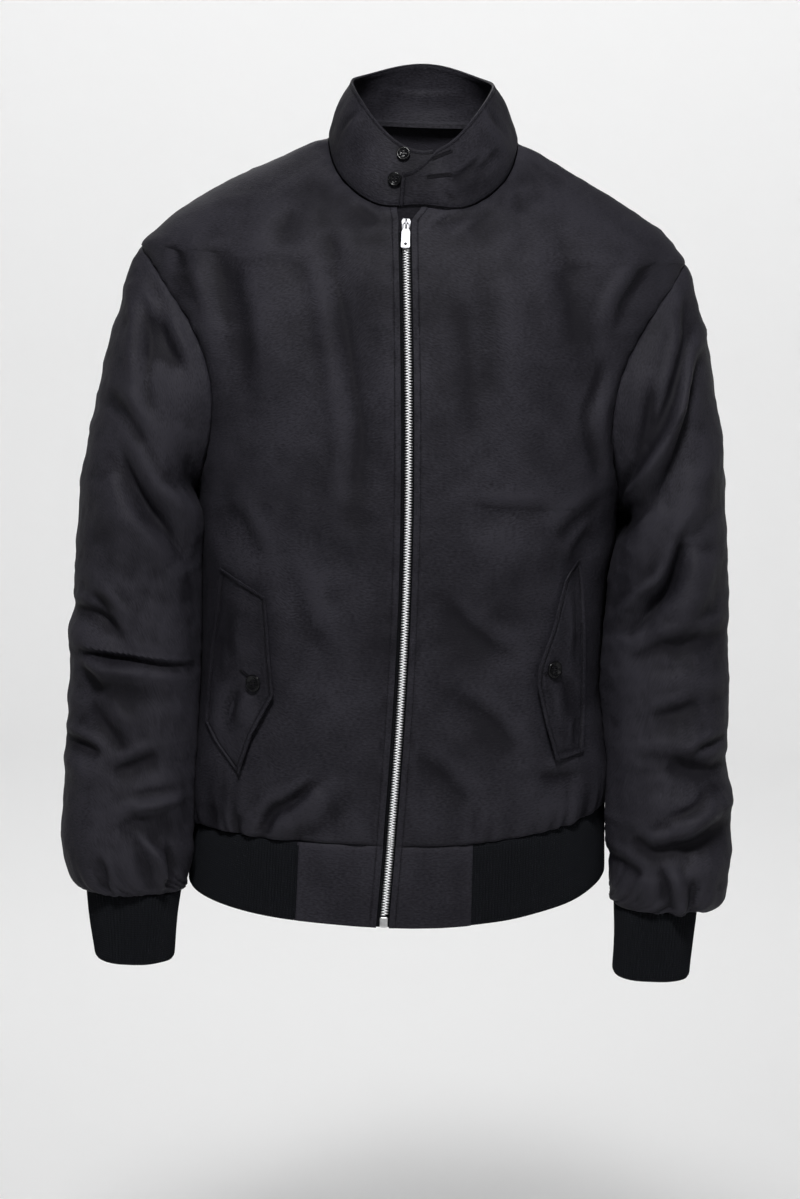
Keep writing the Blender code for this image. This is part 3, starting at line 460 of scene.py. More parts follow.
def through(knots, values, at):
    """Cubic through the knots that never overshoots them."""
    knots, values, at = (np.asarray(item, float) for item in (knots, values, at))
    step = np.diff(knots)
    chord = np.diff(values) / step
    before, after = chord[:-1], chord[1:]
    turning = before * after <= 0
    inner = np.where(turning, 0.0, 2 * before * after / np.where(turning, 1.0, before + after))
    slope = np.concatenate(([chord[0]], inner, [chord[-1]]))
    i = np.clip(np.searchsorted(knots, at) - 1, 0, len(step) - 1)
    t = np.clip((at - knots[i]) / step[i], 0.0, 1.0)
    rise = t * t * (3 - 2 * t)
    start = t * (1 - t) ** 2 * slope[i] * step[i]
    end = t * t * (1 - t) * slope[i + 1] * step[i]
    return values[i] * (1 - rise) + values[i + 1] * rise + start - end


def ease(t):
    """A smooth step: 3 t squared less 2 t cubed, held at 0 and 1."""
    t = np.clip(t, 0.0, 1.0)
    return t * t * (3 - 2 * t)


def ring(bearing, level):
    """Half width, depth and squareness of the body where a bearing and a level meet."""
    levels, right, left, front, back, squareness = np.array(BODY).T
    half = np.where(np.sin(bearing) > 0, through(levels, left, level), through(levels, right, level))
    ahead = np.cos(bearing) > 0
    depth = np.where(ahead, through(levels, front, level), through(levels, back, level))
    return half, depth, through(levels, squareness, level)


def sided(bearing, rise):
    """A height that grows with the square of the sine towards each side."""
    side = np.sin(bearing)
    return np.where(side > 0, rise["left"], rise["right"]) * side ** 2


def hem_level(bearing):
    """Level of the hem seam."""
    return HEM + sided(bearing, HEM_RISE)


def edge_level(bearing):
    """Level of the band's lower edge."""
    return EDGE + sided(bearing, EDGE_RISE)


def body(bearing, level):
    """Point of the jacket's outer surface: a rounded ring, drawn in just above the hem seam."""
    half, depth, n = ring(bearing, level)
    s, c = np.sin(bearing), np.cos(bearing)
    size = (np.abs(s) ** n + np.abs(c) ** n) ** (-1 / n)
    above = np.maximum(level - hem_level(bearing), 0.0)
    size = size * (1 - TUCK * np.exp(-above / TUCK_RUN))
    return np.stack([half * s * size, -depth * c * size, level + 0 * s], -1)


def band(bearing, down):
    """Point of the hem band: down is 0 at the seam and 1 at the lower edge."""
    top = body(bearing, hem_level(bearing))
    spread = 1 + FLARE * down
    level = hem_level(bearing) * (1 - down) + edge_level(bearing) * down
    return np.stack([top[..., 0] * spread, top[..., 1] * spread, level], -1)


def bearing_of(x, level, behind=False):
    """The bearing where the ring at a level has a given x."""
    x, level = np.broadcast_arrays(np.asarray(x, float), np.asarray(level, float))
    half, _, n = ring(np.sign(x) * 0.5, level)
    s = np.clip(np.abs(x) / half, 0.0, 1.0)
    c = (1 - s ** n) ** (1 / n)
    return np.arctan2(np.where(x < 0, -s, s), -c if behind else c)


def front(x, level):
    """Point of the front, or of the hem band below the seam, at a given x and level."""
    x, level = np.broadcast_arrays(np.asarray(x, float), np.asarray(level, float))
    turn = bearing_of(x, np.maximum(level, HEM))
    seam, edge = hem_level(turn), edge_level(turn)
    down = np.clip((seam - level) / (seam - edge), 0.0, 1.2)
    return np.where((level < seam)[..., None], band(turn, down), body(turn, np.maximum(level, seam)))


def zip_x(level):
    """The zip's line: straight, plus half a sine wave from its top to the hem."""
    t = np.clip((level - ZIP_TOP) / (EDGE - ZIP_TOP), 0.0, 1.0)
    return ZIP_X + ZIP_BOW * np.sin(np.pi * t)


def neck_level(turn):
    """Level of the neck seam: a sum of cosines, and a drop half way round each front."""
    waves = [weight * np.cos(n * turn) for n, weight in enumerate(NECK_WAVE)]
    drop = NECK_DROP * (1 - np.cos(2 * turn) ** 4)
    return sum(waves) - np.where(np.cos(turn) > 0, drop, 0.0)


def neck(turn):
    """The neck seam at an angle round the neck."""
    turn = np.asarray(turn, float)
    level = neck_level(turn)
    x = NECK_HALF * np.sin(turn)
    bearing = np.where(np.cos(turn) > 0, bearing_of(x, level), bearing_of(x, level, True))
    return bearing, level


def armhole(angle, side):
    """Bearing and level round an armhole: 0 at the shoulder tip, 180 at the underarm."""
    level = (TIP + PIT) / 2 + (TIP - PIT) / 2 * np.cos(angle)
    bite = np.where(np.sin(angle) > 0, BITE_FRONT, BITE_BACK)
    return side * (np.pi / 2 - bite * np.sin(angle)), level


def superring(angle, n):
    """Cosine and sine of a rounded ring."""
    c, s = np.cos(angle), np.sin(angle)
    size = (np.abs(c) ** n + np.abs(s) ** n) ** (-1 / n)
    return c * size, s * size


def collar(turn, height):
    """Point of the collar's outer face: turn runs round the neck, height from seam to top edge."""
    bearing, level = neck(turn)
    base = body(bearing, level)
    base[..., 2] += COLLAR_BASE
    s, c = np.sin(turn), np.cos(turn)
    reach = np.where(s > 0, COLLAR_TOP["left"], COLLAR_TOP["right"])
    depth = np.where(c > 0, COLLAR_TOP["front"], COLLAR_TOP["back"])
    rim = sum(weight * np.cos(n * turn) for n, weight in enumerate(COLLAR_WAVE))
    top = np.stack([reach * s, -depth * c, rim], -1)
    ending = ease((COLLAR_END + LAP_TAPER - turn) / LAP_TAPER)
    height = height * (1 - (1 - LAP_HEIGHT) * ending)
    outward = np.stack([s, -c, 0 * s], -1)
    lap = LAP_LIFT * ease((COLLAR_END + LAP_RAMP - turn) / (LAP_RAMP * 0.6))
    swell = lap + COLLAR_BULGE * 4 * height * (1 - height)
    t = height[..., None]
    return base * (1 - t) + top * t + outward * swell[..., None]


# ---------------------------------------------------------------- surfaces

def unit(vectors):
    """Vectors divided by their own lengths."""
    return vectors / np.maximum(np.linalg.norm(vectors, axis=-1, keepdims=True), 1e-12)


def outward(grid, closed=False):
    """Unit normals of a grid: the cross product of its differences along and across, turned away
    from the body's axis, or from each ring's own middle where the rings are closed."""
    across = np.gradient(grid, axis=0)
    along = np.roll(grid, -1, 1) - np.roll(grid, 1, 1) if closed else np.gradient(grid, axis=1)
    found = unit(np.cross(along, across))
    away = grid - grid.mean(1, keepdims=True) if closed else grid * np.array([1.0, 1.0, 0.0])
    return found * np.sign(np.sum(found * away))


def run_along(grid):
    """Distance travelled along each row of a grid, in metres."""
    step = np.linalg.norm(np.diff(grid, axis=1), axis=-1)
    return np.concatenate((np.zeros((len(grid), 1)), np.cumsum(step, axis=1)), axis=1)


def run_across(grid):
    """Distance travelled down each column of a grid, in metres."""
    return run_along(grid.transpose(1, 0, 2)).T


def bell(distance, width):
    """A bell curve: 1 at distance 0, and 1 over e at one width."""
    return np.exp(-(distance / width) ** 2)


def ripples(points, length, seed, stretch=(1.0, 1.0, 1.0)):
    """Smooth uneven waves about one length apart, near 1 high: the sum of nine sines along random
    directions, each with its own wavelength and phase."""
    count = 9
    rng = np.random.default_rng(seed)
    direction = unit(rng.normal(size=(count, 3)) * np.array(stretch))
    wave = 2 * pi / (length * rng.uniform(0.7, 1.6, count))
    phase = rng.uniform(0, 2 * pi, count)
    return np.sin(points @ (direction * wave[:, None]).T + phase).sum(-1) / np.sqrt(count)


def uneven(points, waves, shift=0):
    """Unevenness of a cloth: the sum of its sets of ripples, each times its height."""
    return sum(height * ripples(points, length, seed + shift, *stretch)
               for height, length, seed, *stretch in waves)


def pleats(run, pitch, seed):
    """Uneven gathers along a seam, from 0 in their valleys to about 1: a sine whose phase is
    itself pushed about by two slower sines, then sharpened."""
    rng = np.random.default_rng(seed)
    shift = rng.uniform(0, 2 * pi, 3)
    phase = 2 * pi * run / pitch + 1.9 * np.sin(2 * pi * run / (pitch * 3.7) + shift[0])
    phase = phase + 1.3 * np.sin(2 * pi * run / (pitch * 8.3) + shift[1])
    size = 0.65 + 0.35 * np.sin(2 * pi * run / (pitch * 5.1) + shift[2])
    return size * (0.5 + 0.5 * np.sin(phase)) ** 0.7


def gathers(run, away, pitch, seed, rise):
    """Height of the gathers beside a seam: pleats that rise from the seam over a few millimetres
    and die out away from it, both exponentially."""
    return GATHER * pleats(run, pitch, seed) * np.exp(-away / GATHER_FADE) * (1 - np.exp(-away / rise))


def welt(distance, stitch, height=WELT, groove=GROOVE, half=GROOVE_HALF, past=WELT_SLOPE):
    """Relief of a turned edge: raised from the edge to its row of stitches, and a bell-shaped
    groove where they lie."""
    return height * ease((stitch + past - distance) / WELT_SLOPE) - groove * bell(distance - stitch, half)


def puckers(points, distance, height, length, seed, reach):
    """Small puckers beside a seam: ripples that die out exponentially away from it."""
    return height * ripples(points, length, seed) * np.exp(-distance / reach)


def dip(distance, half=SEAM_HALF, depth=SEAM_DIP):
    """The cloth drawn down along a seam, as a bell."""
    return -depth * bell(distance, half)


def crowded(count):
    """Shares from 0 to 1, closer together towards both ends: half of 1 less a cosine."""
    return 0.5 - 0.5 * np.cos(np.linspace(0, pi, count))


def folds(u, v, rows):
    """Height in metres of a table of folds at (u, v) in mm. Across its line a fold is a sharp bell,
    steeper above the line than below, less a third of a lower bell beside it; along the line it
    swells and dies like a sine."""
    total = np.zeros(np.shape(u))
    for height, half_width, *line in rows:
        knots = np.array(line, float)
        facing = np.sign((knots[-1] - knots[0]) @ (1.0, 0.25))
        reach = np.concatenate(([0.0], np.cumsum(np.linalg.norm(np.diff(knots, axis=0), axis=1))))
        t = np.linspace(0, 1, FOLD_STEPS + 1)
        path = np.stack([through(reach / reach[-1], knots[:, k], t) for k in (0, 1)], -1)
        near = np.full(np.shape(u), np.inf)
        share, width = np.zeros(np.shape(u)), np.full(np.shape(u), float(half_width))
        for i, (start, step) in enumerate(zip(path[:-1], np.diff(path, axis=0))):
            part = ((u - start[0]) * step[0] + (v - start[1]) * step[1]) / (step @ step)
            part = np.clip(part, 0.0, 1.0)
            gap = np.hypot(u - start[0] - part * step[0], v - start[1] - part * step[1])
            share = np.where(gap < near, (i + part) / FOLD_STEPS, share)
            above = (v - start[1]) * step[0] - (u - start[0]) * step[1]
            above = above * facing / np.hypot(*step) / half_width
            width = np.where(gap < near, half_width * (1 - FOLD_LEAN * np.tanh(3 * above)), width)
            near = np.minimum(near, gap)
        sharp = TROUGH_POWER if height < 0 else RIDGE_POWER
        across = np.exp(-(np.hypot(near / width, 0.07)) ** sharp) - 0.33 * bell(near / width - 2.0, 0.9)
        total += 0.001 * FOLD_DEPTH * height * across * np.sin(pi * np.clip(share, 0.02, 0.98)) ** 0.6
    return total


def arm_angle(t):
    """Angle at a share t of the way down an armhole: between even angles and even levels."""
    return (pi * t + np.arccos(1 - 2 * t)) / 2


def arm_loop(count):
    """Angles all round an armhole: down the front and back up behind."""
    angle = arm_angle(np.linspace(0, 1, count + 1))
    return np.concatenate((angle, 2 * pi - angle[-2:0:-1]))


def panel_rows(side_name):
    """For each row of a panel up from the hem: its level at the side, how far round the front and
    the back reach there, and how near it is to the neck."""
    sign = SIGN[side_name]
    low = float(hem_level(np.array(sign * pi / 2))) + SEAM / 2
    rise = np.linspace(0, 1, SKIRT_ROWS + 1)[:-1] ** 1.35
    up = np.linspace(0, 1, ARM_ROWS + 1)
    angle = arm_angle(1 - up)
    top = np.linspace(0, 1, SHOULDER_ROWS + 1)[1:]
    square = np.full(len(rise), pi / 2)
    level = np.concatenate((low + (PIT - low) * rise, armhole(angle, 1)[1],
                            TIP + (neck_level(pi / 2) - TIP) * top))
    ahead = np.concatenate((square, armhole(angle, 1)[0], 0 * top + pi / 2))
    behind = np.concatenate((square, armhole(-angle, 1)[0], 0 * top + pi / 2))
    near = ease(np.concatenate((0 * rise, 11 * up, 11 + 5 * top)) / 16)
    return level, ahead, behind, near


def beside(levels, facing):
    """Bearing that leaves half a seam's gap beside a side or shoulder seam."""
    depth = ring(np.full(len(levels), facing), levels)[1]
    return np.where(levels < TIP, SEAM, SHOULDER_SEAM / 2) / 2 / depth


def shared(u, top_bearing, near):
    """How far round each point of a panel's rows lies: even steps in the lower rows, going over to
    the steps of the neck seam in the top ones."""
    at_neck = (top_bearing - top_bearing[0]) / (top_bearing[-1] - top_bearing[0])
    return u[None, :] * (1 - near) + at_neck[None, :] * near


def down_to_hem(bearing, level):
    """Points of a panel whose lowest rows ease down to the line of the hem seam."""
    low = hem_level(bearing[0]) + SEAM / 2
    return body(bearing, level + (low - level[0])[None, :] * ease(1 - (level - level[0]) / HEM_BLEND))


def front_surface(side_name):
    """Smooth outside of one front. Across, the bearing goes from the zip's edge to the side; up,
    each row's level eases from the zip to its level at the side, and to the neck seam at the top."""
    sign = SIGN[side_name]
    levels, out, _, near = panel_rows(side_name)
    fine_end = 0.045
    u = np.concatenate((np.linspace(0, fine_end, EDGE_COLUMNS),
                        np.linspace(fine_end, 1, FRONT_COLUMNS - EDGE_COLUMNS + 2)[1:]))
    start = np.arcsin((ZIP_X + sign * (GAP[side_name] + NOTCH[side_name])) / NECK_HALF)
    top_bearing, top_level = neck(start + (sign * pi / 2 - start) * u)
    above = ease((levels - TIP) / (levels[-1] - TIP))[:, None]
    share = (top_level - top_level[0]) / (top_level[-1] - top_level[0])
    share = share[None, :] * above + (u * (2 - u))[None, :] * (1 - above)
    inner = through([levels[0], PIT, TIP, levels[-1]], [HEM + SEAM / 2, *EDGE_LEVELS, top_level[0]], levels)
    level = inner[:, None] + (levels - inner)[:, None] * share
    notch = NOTCH[side_name] * ease(1 - (top_level[0] - inner) / NOTCH_RUN)
    first = bearing_of(zip_x(inner) + sign * (GAP[side_name] + notch), inner)
    bearing = first[:, None] + (sign * out - first)[:, None] * shared(u, top_bearing, near[:, None])
    bearing[:, -1] -= sign * beside(levels, 0.0)
    return down_to_hem(bearing, level)


def back_surface():
    """Smooth outside of the back: the bearing goes round from the left side seam to the right one,
    the level runs straight between the two sides and rises to the neck seam at the top."""
    left, _, out_left, near = panel_rows("left")
    right, _, out_right, _ = panel_rows("right")
    u = np.linspace(0, 1, BACK_COLUMNS + 1)
    top_bearing, top_level = neck(pi / 2 + pi * u)
    top_bearing = np.where(top_bearing < 0, top_bearing + 2 * pi, top_bearing)
    near = near[:, None]
    round_it = (2 * pi - out_right - out_left)[:, None] * shared(u, top_bearing, near)
    bearing = out_left[:, None] + round_it
    bearing[:, 0] += beside(left, pi)
    bearing[:, -1] -= beside(right, pi)
    level = left[:, None] + (right - left)[:, None] * u[None, :]
    middle = through([left[0], PIT, TIP, left[-1]], [0.0, BACK_RISE, 0.0, 0.0], left)
    level = level + middle[:, None] * np.sin(pi * u)[None, :] * (1 - near)
    return down_to_hem(bearing, level + (top_level - left[-1])[None, :] * near)


def cloth_height(points, name):
    """Height of a body panel's cloth over the smooth form: its folds, slow and small unevenness,
    and the gathers above the hem band, all of it dying out beside the zip."""
    x, y, z = points[..., 0], points[..., 1], points[..., 2]
    table = BACK_FOLDS["back"] if name == "back" else FOLDS[name]
    height = folds(1000 * x, 1000 * z, table) + uneven(points, BODY_WAVES)
    turn = np.arctan2(x / BODY_OVAL[0], -y / BODY_OVAL[1])
    above = np.maximum(z - hem_level(turn), 0.0)
    loose = 0.35 + 0.65 * ease((np.abs(turn) - 0.35) / 0.4)
    height += loose * gathers(BODY_RADIUS * turn, above, pitch=0.017, seed=11, rise=0.003)
    if name != "back":
        height = height * (1 - bell(x - zip_x(z), 0.016))
    return height


def panel(name):
    """A body panel with its relief: cloth_height, and along its sewn edges a narrow dip with small
    puckers. Returns the grid and the unit normals that it was moved along."""
    back = name == "back"
    smooth = back_surface() if back else front_surface(name.split("_")[1])
    normal = outward(smooth)
    along, up = run_along(smooth), run_across(smooth)
    sewn = np.minimum(along[:, -1:] - along, up[-1:] - up)
    if back:
        sewn = np.minimum(sewn, along)
    height = cloth_height(smooth, name) * (1 - bell(sewn, EDGE_CALM))
    height += dip(sewn) + dip(up, 0.0022) * (1 if back else 1 - bell(along, EDGE_CALM))
    height += puckers(smooth, sewn, height=0.00055, length=0.013, seed=17, reach=0.009)
    if not back:
        height += welt(along, STITCH_IN)
        height += 0.00035 * ripples(smooth, 0.016, 23) * bell(along - STITCH_IN, 0.006)
    grid = smooth + normal * height[..., None]
    return tuck(*tuck(grid, normal, "left"), "right") if back else (grid, normal)


def clear_of_body(points, sign, clear):
    """Moves points sideways until they clear the smooth body by a given distance."""
    x, y, z = points[..., 0], points[..., 1], points[..., 2]
    level = np.minimum(z, TIP)
    half, _, n = ring(0 * level + sign * pi / 2, level)
    depth = ring(np.where(y < 0, 0.0, pi), level)[1]
    reach = half * np.maximum(1 - (np.abs(y) / depth) ** n, 0.0) ** (1 / n)
    return np.stack([sign * np.maximum(np.abs(x), reach + clear), y, z], -1)


def ring_points(sign, angle, squareness, outer, inner, middle, depth, level):
    """Points of rounded rings between an outer and an inner reach, round a middle and to a half
    depth; level is a ring's middle level and how far it rises to its outer side."""
    c, s = superring(angle, squareness)
    x = sign * ((outer + inner) / 2 + (outer - inner) / 2 * c)
    return np.stack([x, middle - depth * s, level[0] + level[1] * c], -1)


def sleeve_surface(side_name):
    """Smooth outside of a sleeve, rings down from the armhole. A ring is the armhole's own loop
    carried outwards, blended over the first stations into rounded rings read from the table."""
    sign = SIGN[side_name]
    table = np.array(SLEEVE)
    reach, inner_reach = (table[:, 2], table[:, 5]) if sign > 0 else (table[:, 1], table[:, 4])
    station = np.arange(len(table))
    fine = np.linspace(0, len(table) - 1, 600)
    path = [np.hypot(np.diff(through(station, table[:, k], fine)), np.diff(through(station, w, fine)))
            for k, w in ((0, reach), (3, inner_reach))]
    length = np.concatenate(([0.0], np.cumsum(path[0] + path[1] + 1e-5)))
    at = np.interp(np.linspace(0, length[-1], SLEEVE_ROWS), length, fine)[:, None]
    angle = arm_loop(ARM_ROWS)
    loop = body(*armhole(angle, sign))
    tilt = SLEEVE_TILT[0] + (SLEEVE_TILT[1] - SLEEVE_TILT[0]) * np.maximum(np.cos(angle), 0) ** 2
    away = np.stack([sign * np.cos(tilt), 0 * tilt, -np.sin(tilt)], -1)
    pressed = (np.cos(angle) < 0) & (np.sin(angle) < 0)
    squareness = np.where(pressed, SLEEVE_PRESSED, SLEEVE_ROUND)
    top, low, middle, depth = (through(station, table[:, k], at) for k in (0, 3, 6, 7))
    outer, inner = through(station, reach, at), through(station, inner_reach, at)
    section = ring_points(sign, angle, squareness, outer, inner, middle, depth,
                          ((top + low) / 2, (top - low) / 2))
    blend = ease(at / SLEEVE_BLEND)[..., None]
    carried = loop + (SEAM_RIDGE + SLEEVE_STRIDE * at[..., None]) * away
    rings = clear_of_body(carried * (1 - blend) + section * blend, sign, CLEAR * blend[..., 0])
    return np.concatenate(((loop + SEAM * away)[None], rings)), middle


def sleeve(side_name):
    """A sleeve with its relief: front and rear folds weighted by the side of the ring's middle,
    uneven cloth, a dip at the armhole seam with fullness below it, and gathers at the cuff. Its
    inner cloth then leans towards the body, as far as the least gap."""
    sign = SIGN[side_name]
    name = "sleeve_" + side_name
    smooth, middle = sleeve_surface(side_name)
    normal = outward(smooth, closed=True)
    x, y, z = smooth[..., 0], smooth[..., 1], smooth[..., 2]
    middle = np.concatenate((middle[:1], middle))
    ahead = ease((middle - y) / 0.030 + 0.5)
    height = ahead * folds(1000 * x, 1000 * z, FOLDS[name])
    height += (1 - ahead) * folds(1000 * x, 1000 * z, BACK_FOLDS[name])
    height += uneven(smooth, SLEEVE_WAVES, sign)
    down = run_across(smooth)
    height = height * (1 - bell(down, FULLNESS_AT)) + dip(down, 0.0026)
    height += FULLNESS * bell(down - FULLNESS_AT, 0.008)
    height += puckers(smooth, down, height=0.0005, length=0.012, seed=61, reach=0.010)
    height += gathers(run_along(smooth) * 0.9, down[-1:] - down, pitch=0.012, seed=71 + sign,
                              rise=0.004)
    lean = ease((LEAN_FROM - z) / 0.03) * ease((z - SLEEVE_FREE[side_name]) / 0.05)
    height += LEAN * np.clip(-sign * normal[..., 0], 0, 1) * lean
    moved = smooth + normal * height[..., None]
    inner = ease(-np.cos(arm_loop(ARM_ROWS)) / 0.5)
    moved[..., 0] -= sign * UNDERARM_SHIFT * inner * bell(z - UNDERARM_AT, 0.030)
    hold = ease(down / 0.05)[..., None]
    moved = moved * (1 - hold) + clear_of_body(moved, sign, LEAST_GAP) * hold
    return tuck(moved, normal, "start")


def collar_surface():
    """The collar with its relief, columns round from under the lap to its free end: folds, a welt
    along the top and the free end, a dip at the neck seam, and the curl of the lap's two edges."""
    near_end = COLLAR_END + 0.11
    turn = np.concatenate((np.linspace(COLLAR_START, near_end, COLLAR_COLUMNS),
                           np.linspace(near_end, COLLAR_END, EDGE_COLUMNS + 1)[1:]))[None, :]
    turn, share = np.broadcast_arrays(turn, crowded(FINE)[:, None])
    smooth = collar(turn, share)
    normal = outward(smooth)
    up = run_across(smooth)
    from_top = up[-1:] - up
    from_end = (turn - COLLAR_END) * NECK_HALF
    edge = np.minimum(from_top, from_end)
    rows = [(height / FOLD_DEPTH, width,
             *[(COLLAR_DEGREE * degrees, COLLAR_HIGH * part) for degrees, part in line])
            for height, width, *line in COLLAR_FOLDS]
    height = folds(COLLAR_DEGREE * np.degrees(turn), COLLAR_HIGH * share, rows)
    height += uneven(smooth, COLLAR_WAVES)
    height = height * (1 - bell(edge, 0.005)) * (1 - bell(up, 0.008))
    height += welt(edge, COLLAR_STITCH, height=0.0006, groove=0.0008) + dip(up, 0.002, 0.0008)
    lapping = ease((COLLAR_END + LAP_TAPER - turn) / LAP_TAPER)
    curl = LAP_CURL * np.exp(-from_end / 0.007) + LAP_TOP_CURL * np.exp(-from_top / 0.005)
    height += lapping * curl
    return tuck(smooth + normal * height[..., None], normal, "start", reach=0.0034, sink=0.0024)


def collar_point(turn, share):
    """Point and normal of the smooth collar at one angle and share of its height."""
    step = 0.004
    at = collar(np.array(turn), np.array(share))
    along = collar(np.array(turn + step), np.array(share)) - at
    up = collar(np.array(turn), np.array(share + step)) - at
    normal = unit(np.cross(along, up))
    return at, normal * np.sign(normal[0] * at[0] + normal[1] * at[1])


def flap_surface(side_name):
    """A pocket flap laid over its front: the table's outline, moved out by the cloth's own height
    there, the flap's thickness and a lift that grows with the square of the way to its free edge."""
    table = np.array(FLAP[side_name])
    station = np.arange(len(table))
    at = np.append((station[:-1, None] + crowded(25)[None, :-1]).ravel(), station[-1])
    outer_x, outer_z, inner_x, inner_z = (np.interp(at, station, table[:, k])[:, None] for k in range(4))
    t = crowded(FINE)[None, :]
    x, z = outer_x * (1 - t) + inner_x * t, outer_z * (1 - t) + inner_z * t
    base = front(x, z)
    normal = outward(base)
    along, down = run_along(base), run_across(base)
    edge = np.minimum(np.minimum(along, along[:, -1:] - along), np.minimum(down, down[-1:] - down))
    height = cloth_height(base, "front_" + side_name) + FLAP_LIFT * 0.6 + CLOTH + FLAP_CURL * t ** 2
    height += 0.0005 * ripples(base, 0.045, 91) * t
    height += folds(1000 * x, 1000 * z, FLAP_FOLDS[side_name]) * (1 - bell(edge, 0.006))
    height += welt(edge, FLAP_STITCH, height=0.0007, groove=0.0009, half=0.0012, past=0.0)
    height += 0.0008 * ease(1 - down / FLAP_STITCH)
    return base + normal * height[..., None], normal


def hem_rib_surface():
    """The knitted hem band from tab to tab round the back: upright ribs as a cosine of the run,
    a slow waviness, a dip under the seam and a rounded lower edge."""
    turn = {name: float(bearing_of(TAB_OUTER[name], HEM)) for name in TAB_OUTER}
    gap = SEAM / 0.28
    coarse_turn = np.linspace(turn["left"] + gap, turn["right"] + 2 * pi - gap, 400)
    length = run_along(band(coarse_turn[None, :], np.full((1, 400), 0.5)))[0]
    ribs = int(length[-1] / RIB_PITCH)
    run = np.linspace(0, length[-1], ribs * 4 + 1)
    bearing, down = np.broadcast_arrays(np.interp(run, length, coarse_turn)[None, :],
                                        np.array(RIB_ROWS)[::-1, None])
    smooth = band(bearing, down)
    normal = outward(smooth)
    edge = np.minimum(down, 1 - down) * BAND_HIGH
    height = RIB_DEPTH * np.cos(2 * pi * run / length[-1] * ribs)[None, :] * (1 - bell(edge, 0.0018))
    height += 0.0013 * ripples(smooth * np.array([1, 1, 0.35]), 0.060, 101)
    height += dip(down * BAND_HIGH, 0.0030) + dip((1 - down) * BAND_HIGH, 0.0016, 0.0010)
    sides = [smooth + normal * height[..., None], smooth - normal * RIB_CLOTH]
    for edge in ("end", "left", "right"):
        sides, normal = [tuck(side, normal, edge)[0] for side in sides], tuck(normal, normal, edge)[1]
    return sides


def cuff_surface(side_name):
    """A knitted cuff: rounded rings read from the table, upright ribs as a cosine of the run, a
    slow waviness and a rounded lower edge."""
    sign = SIGN[side_name]
    table = np.array(CUFF)[::-1]
    reach, inner_reach = (table[:, 2], table[:, 4]) if sign > 0 else (table[:, 1], table[:, 3])
    angle = np.linspace(0, 2 * pi, CUFF_RIBS * 4 + 1)[:-1]
    low, high = table[0, 0], table[-1, 0]
    level = high + (low - high) * np.sin(np.linspace(0, 1, 18) * pi / 2)[:, None]
    outer, inner, middle, depth = (through(table[:, 0], column, level)
                                   for column in (reach, inner_reach, table[:, 5], table[:, 6]))
    smooth = ring_points(sign, angle, SLEEVE_ROUND, outer, inner, middle, depth, (level, 0.0))
    normal = outward(smooth, closed=True)
    height = RIB_DEPTH * np.cos(CUFF_RIBS * angle)[None, :] * (1 - bell(level - low, 0.0018))
    height += 0.0011 * ripples(smooth * np.array([1, 1, 0.5]), 0.040, 111 + sign)
    height += dip(level - low, 0.0020, 0.0010)
    return [tuck(side, normal, "start")[0]
            for side in (smooth + normal * height[..., None], smooth - normal * RIB_CLOTH)]


def tab_surface(side_name):
    """A woven hem tab beside the zip: part of the band, with a welt and stitched groove along the
    zip's edge, a dip at the rib's seam and a rounded lower edge."""
    sign = SIGN[side_name]
    outer = float(bearing_of(TAB_OUTER[side_name], HEM))
    down = np.sin(np.linspace(1, 0, FINE) * pi / 2)[:, None]
    level = HEM + (EDGE - HEM) * down
    inner = bearing_of(zip_x(level) + sign * GAP[side_name], HEM)
    t = np.concatenate((np.linspace(0, 0.12, EDGE_COLUMNS), np.linspace(0.12, 1, FINE)[1:]))[None, :]
    smooth = band(inner * (1 - t) + outer * t, down + 0 * t)
    normal = outward(smooth)
    along = run_along(smooth)
    height = 0.0006 * ripples(smooth, 0.045, 121 + sign) * (1 - bell(along, 0.012))
    height += welt(along, STITCH_IN) + dip(along[:, -1:] - along, 0.002)
    height += dip(down * BAND_HIGH, 0.002) * (1 - bell(along, EDGE_CALM))
    height += dip((1 - down) * BAND_HIGH, 0.0015, 0.0007)
    return smooth + normal * height[..., None], normal


def tuck(grid, normal, edge, reach=0.0026, sink=0.0017):
    """A seam allowance along one edge: the surface goes on for a little and turns in under its
    neighbour, so that the seam is closed. Returns the longer grid and its normals."""
    turned = {"start": lambda a: a, "end": lambda a: a[::-1], "left": lambda a: a.transpose(1, 0, 2),
              "right": lambda a: a.transpose(1, 0, 2)[::-1]}[edge]
    back = {"start": lambda a: a, "end": lambda a: a[::-1], "left": lambda a: a.transpose(1, 0, 2),
            "right": lambda a: a[::-1].transpose(1, 0, 2)}[edge]
    points, facing = turned(grid), turned(normal)
    step = unit(points[0] - points[1])
    rows = [points[0] + step * reach * far - facing[0] * sink * deep for far, deep in ((1, 1), (0.12, 0.8))]
    return back(np.concatenate((rows, points))), back(np.concatenate((facing[:1], facing[:1], facing)))


def blurred(grid, reach, closed):
    """Mean of each point's surroundings, so many rows and columns each way, by running sums."""
    for axis in (0, 1):
        mode = "wrap" if closed and axis == 1 else "edge"
        wide = np.pad(grid, [(reach, reach) if k == axis else (0, 0) for k in range(3)], mode=mode)
        total = np.cumsum(wide, axis=axis)
        total = np.concatenate((np.zeros_like(total.take([0], axis)), total), axis)
        size = grid.shape[axis]
        window = 2 * reach + 1
        grid = (total.take(range(window, window + size), axis) - total.take(range(size), axis)) / window
    return grid


def relief(grid, closed):
    """How far each point stands out from its surroundings, from -1 in a crease to 1 on a ridge:
    its distance along the outward normal from their mean, over a millimetre or so."""
    out = np.sum((grid - blurred(grid, 5, closed)) * outward(grid, closed), -1)
    return np.tanh(out / RELIEF_FULL)


# ---------------------------------------------------------------- meshes

